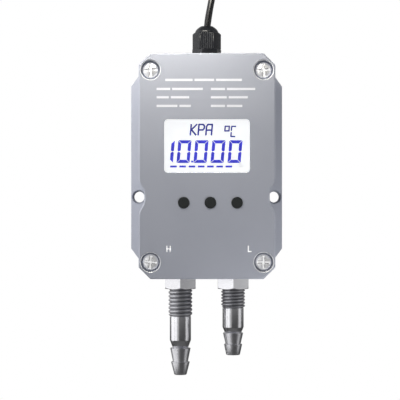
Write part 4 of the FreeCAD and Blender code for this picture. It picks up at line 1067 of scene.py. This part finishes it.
def build_world():
    """White to the camera; a dim grey room for light and reflections."""
    world = bpy.data.worlds.new("studio")
    bpy.context.scene.world = world
    world.use_nodes = True
    nodes, links = world.node_tree.nodes, world.node_tree.links
    background = nodes["Background"]
    background.inputs["Color"].default_value = (*WHITE, 1.0)
    path = nodes.new("ShaderNodeLightPath")
    level = nodes.new("ShaderNodeMapRange")
    level.inputs["To Min"].default_value = ROOM_LEVEL
    level.inputs["To Max"].default_value = 1.0
    links.new(path.outputs["Is Camera Ray"], level.inputs["Value"])
    links.new(level.outputs["Result"], background.inputs["Strength"])


def lamp(name, place, target, width, height, radiance, tint, mirrored):
    """Area lamp of even brightness that the camera doesn't see."""
    way = target - place
    light = bpy.data.lights.new(name, "AREA")
    light.shape = "RECTANGLE"
    light.size, light.size_y = width, height
    light.energy = radiance * math.pi * width * height
    light.color = tint
    holder = bpy.data.objects.new(name, light)
    holder.location = place
    holder.rotation_euler = way.to_track_quat("-Z", "Y").to_euler()
    holder.visible_camera = False
    holder.visible_glossy = mirrored
    bpy.context.scene.collection.objects.link(holder)


# Lamps aimed at the cover. Azimuth 0 is in front of it and positive to its right; then elevation,
# distance, width, height, radiance, and whether it shows in reflections
SOFTBOXES = [
    ("left_wall", -92, 4, 0.80, 0.76, 1.25, 1.06, True),
    ("left_turn", -51, 4, 0.80, 0.38, 1.25, 1.12, True),
    ("left_front", -27, 4, 0.80, 0.24, 1.25, 0.42, True),
    ("right_wall", 79, 4, 0.80, 0.51, 1.25, 0.58, True),
    ("right_matt", 82, 0, 0.80, 0.46, 1.6, 0.98, False),
    ("rear_left", -140, 25, 0.9, 0.6, 0.9, 0.5, True),
    ("rear_right", 140, 20, 0.9, 0.6, 0.9, 0.12, True),
]
WARM = (1.0, 0.965, 0.865)
# Small lamps near the cover. Place and target are in mm from the middle of its upper (1) or
# lower (-1) edge; then width, height, radiance, tint, and whether it shows in reflections
GLOWS = [
    ("top_glow", 1, (-20, -44, 48), (0, 0, -30), 0.07, 0.03, 16.2, WARM, True),
    ("left_glow", 1, (-150, -22, 10), (-35, 0, -25), 0.06, 0.06, 4.8, WHITE, False),
    ("low_glow", -1, (60, -40, -60), (25, 0, 10), 0.06, 0.06, 4.7, WHITE, False),
]


def build_lights():
    """Tall lamps all round, and small ones near the cover for its gradients."""
    for name, azimuth, elevation, distance, width, height, radiance, mirrored in SOFTBOXES:
        a, e = math.radians(azimuth), math.radians(elevation)
        way = Vector((math.sin(a) * math.cos(e), -math.cos(a) * math.cos(e), math.sin(e)))
        lamp(name, COVER_CENTRE + way * distance, COVER_CENTRE, width, height, radiance, WHITE,
             mirrored)
    for name, edge, place, target, width, height, radiance, tint, mirrored in GLOWS:
        middle = Vector((COVER_CENTRE.x, FACE_Y, (COVER_HIGH if edge > 0 else COVER_LOW).z))
        lamp(name, middle + Vector(place) * MM, middle + Vector(target) * MM, width, height,
             radiance, tint, mirrored)


CAMERA_DISTANCE = 0.650     # in front of the cover's face
FRAME_WIDTH = 0.1768        # what the view spans at the cover's face
SENSOR_WIDTH = 36.0
AIM_LEFT = 3.1 * MM         # the optical axis passes left of and below the cover's centre
AIM_BELOW = 15.0 * MM


def build_camera():
    """Camera in front of the cover, looking straight at the wall."""
    camera = bpy.data.cameras.new("camera")
    camera.sensor_width = SENSOR_WIDTH
    camera.lens = SENSOR_WIDTH * CAMERA_DISTANCE / FRAME_WIDTH
    camera.clip_start = 0.01
    holder = bpy.data.objects.new("camera", camera)
    holder.location = (COVER_CENTRE.x - AIM_LEFT, FACE_Y - CAMERA_DISTANCE,
                       COVER_CENTRE.z - AIM_BELOW)
    holder.rotation_euler = (math.pi / 2, 0.0, 0.0)
    bpy.context.scene.collection.objects.link(holder)
    bpy.context.scene.camera = holder


paint_nodes()
build_housing()
build_gland_cap()
build_screws()
build_ports()
build_display()
build_port_letters()
build_legend_bars()
build_cable()
build_floor()
build_world()
build_lights()
build_camera()
bpy.context.scene.view_settings.view_transform = "Standard"
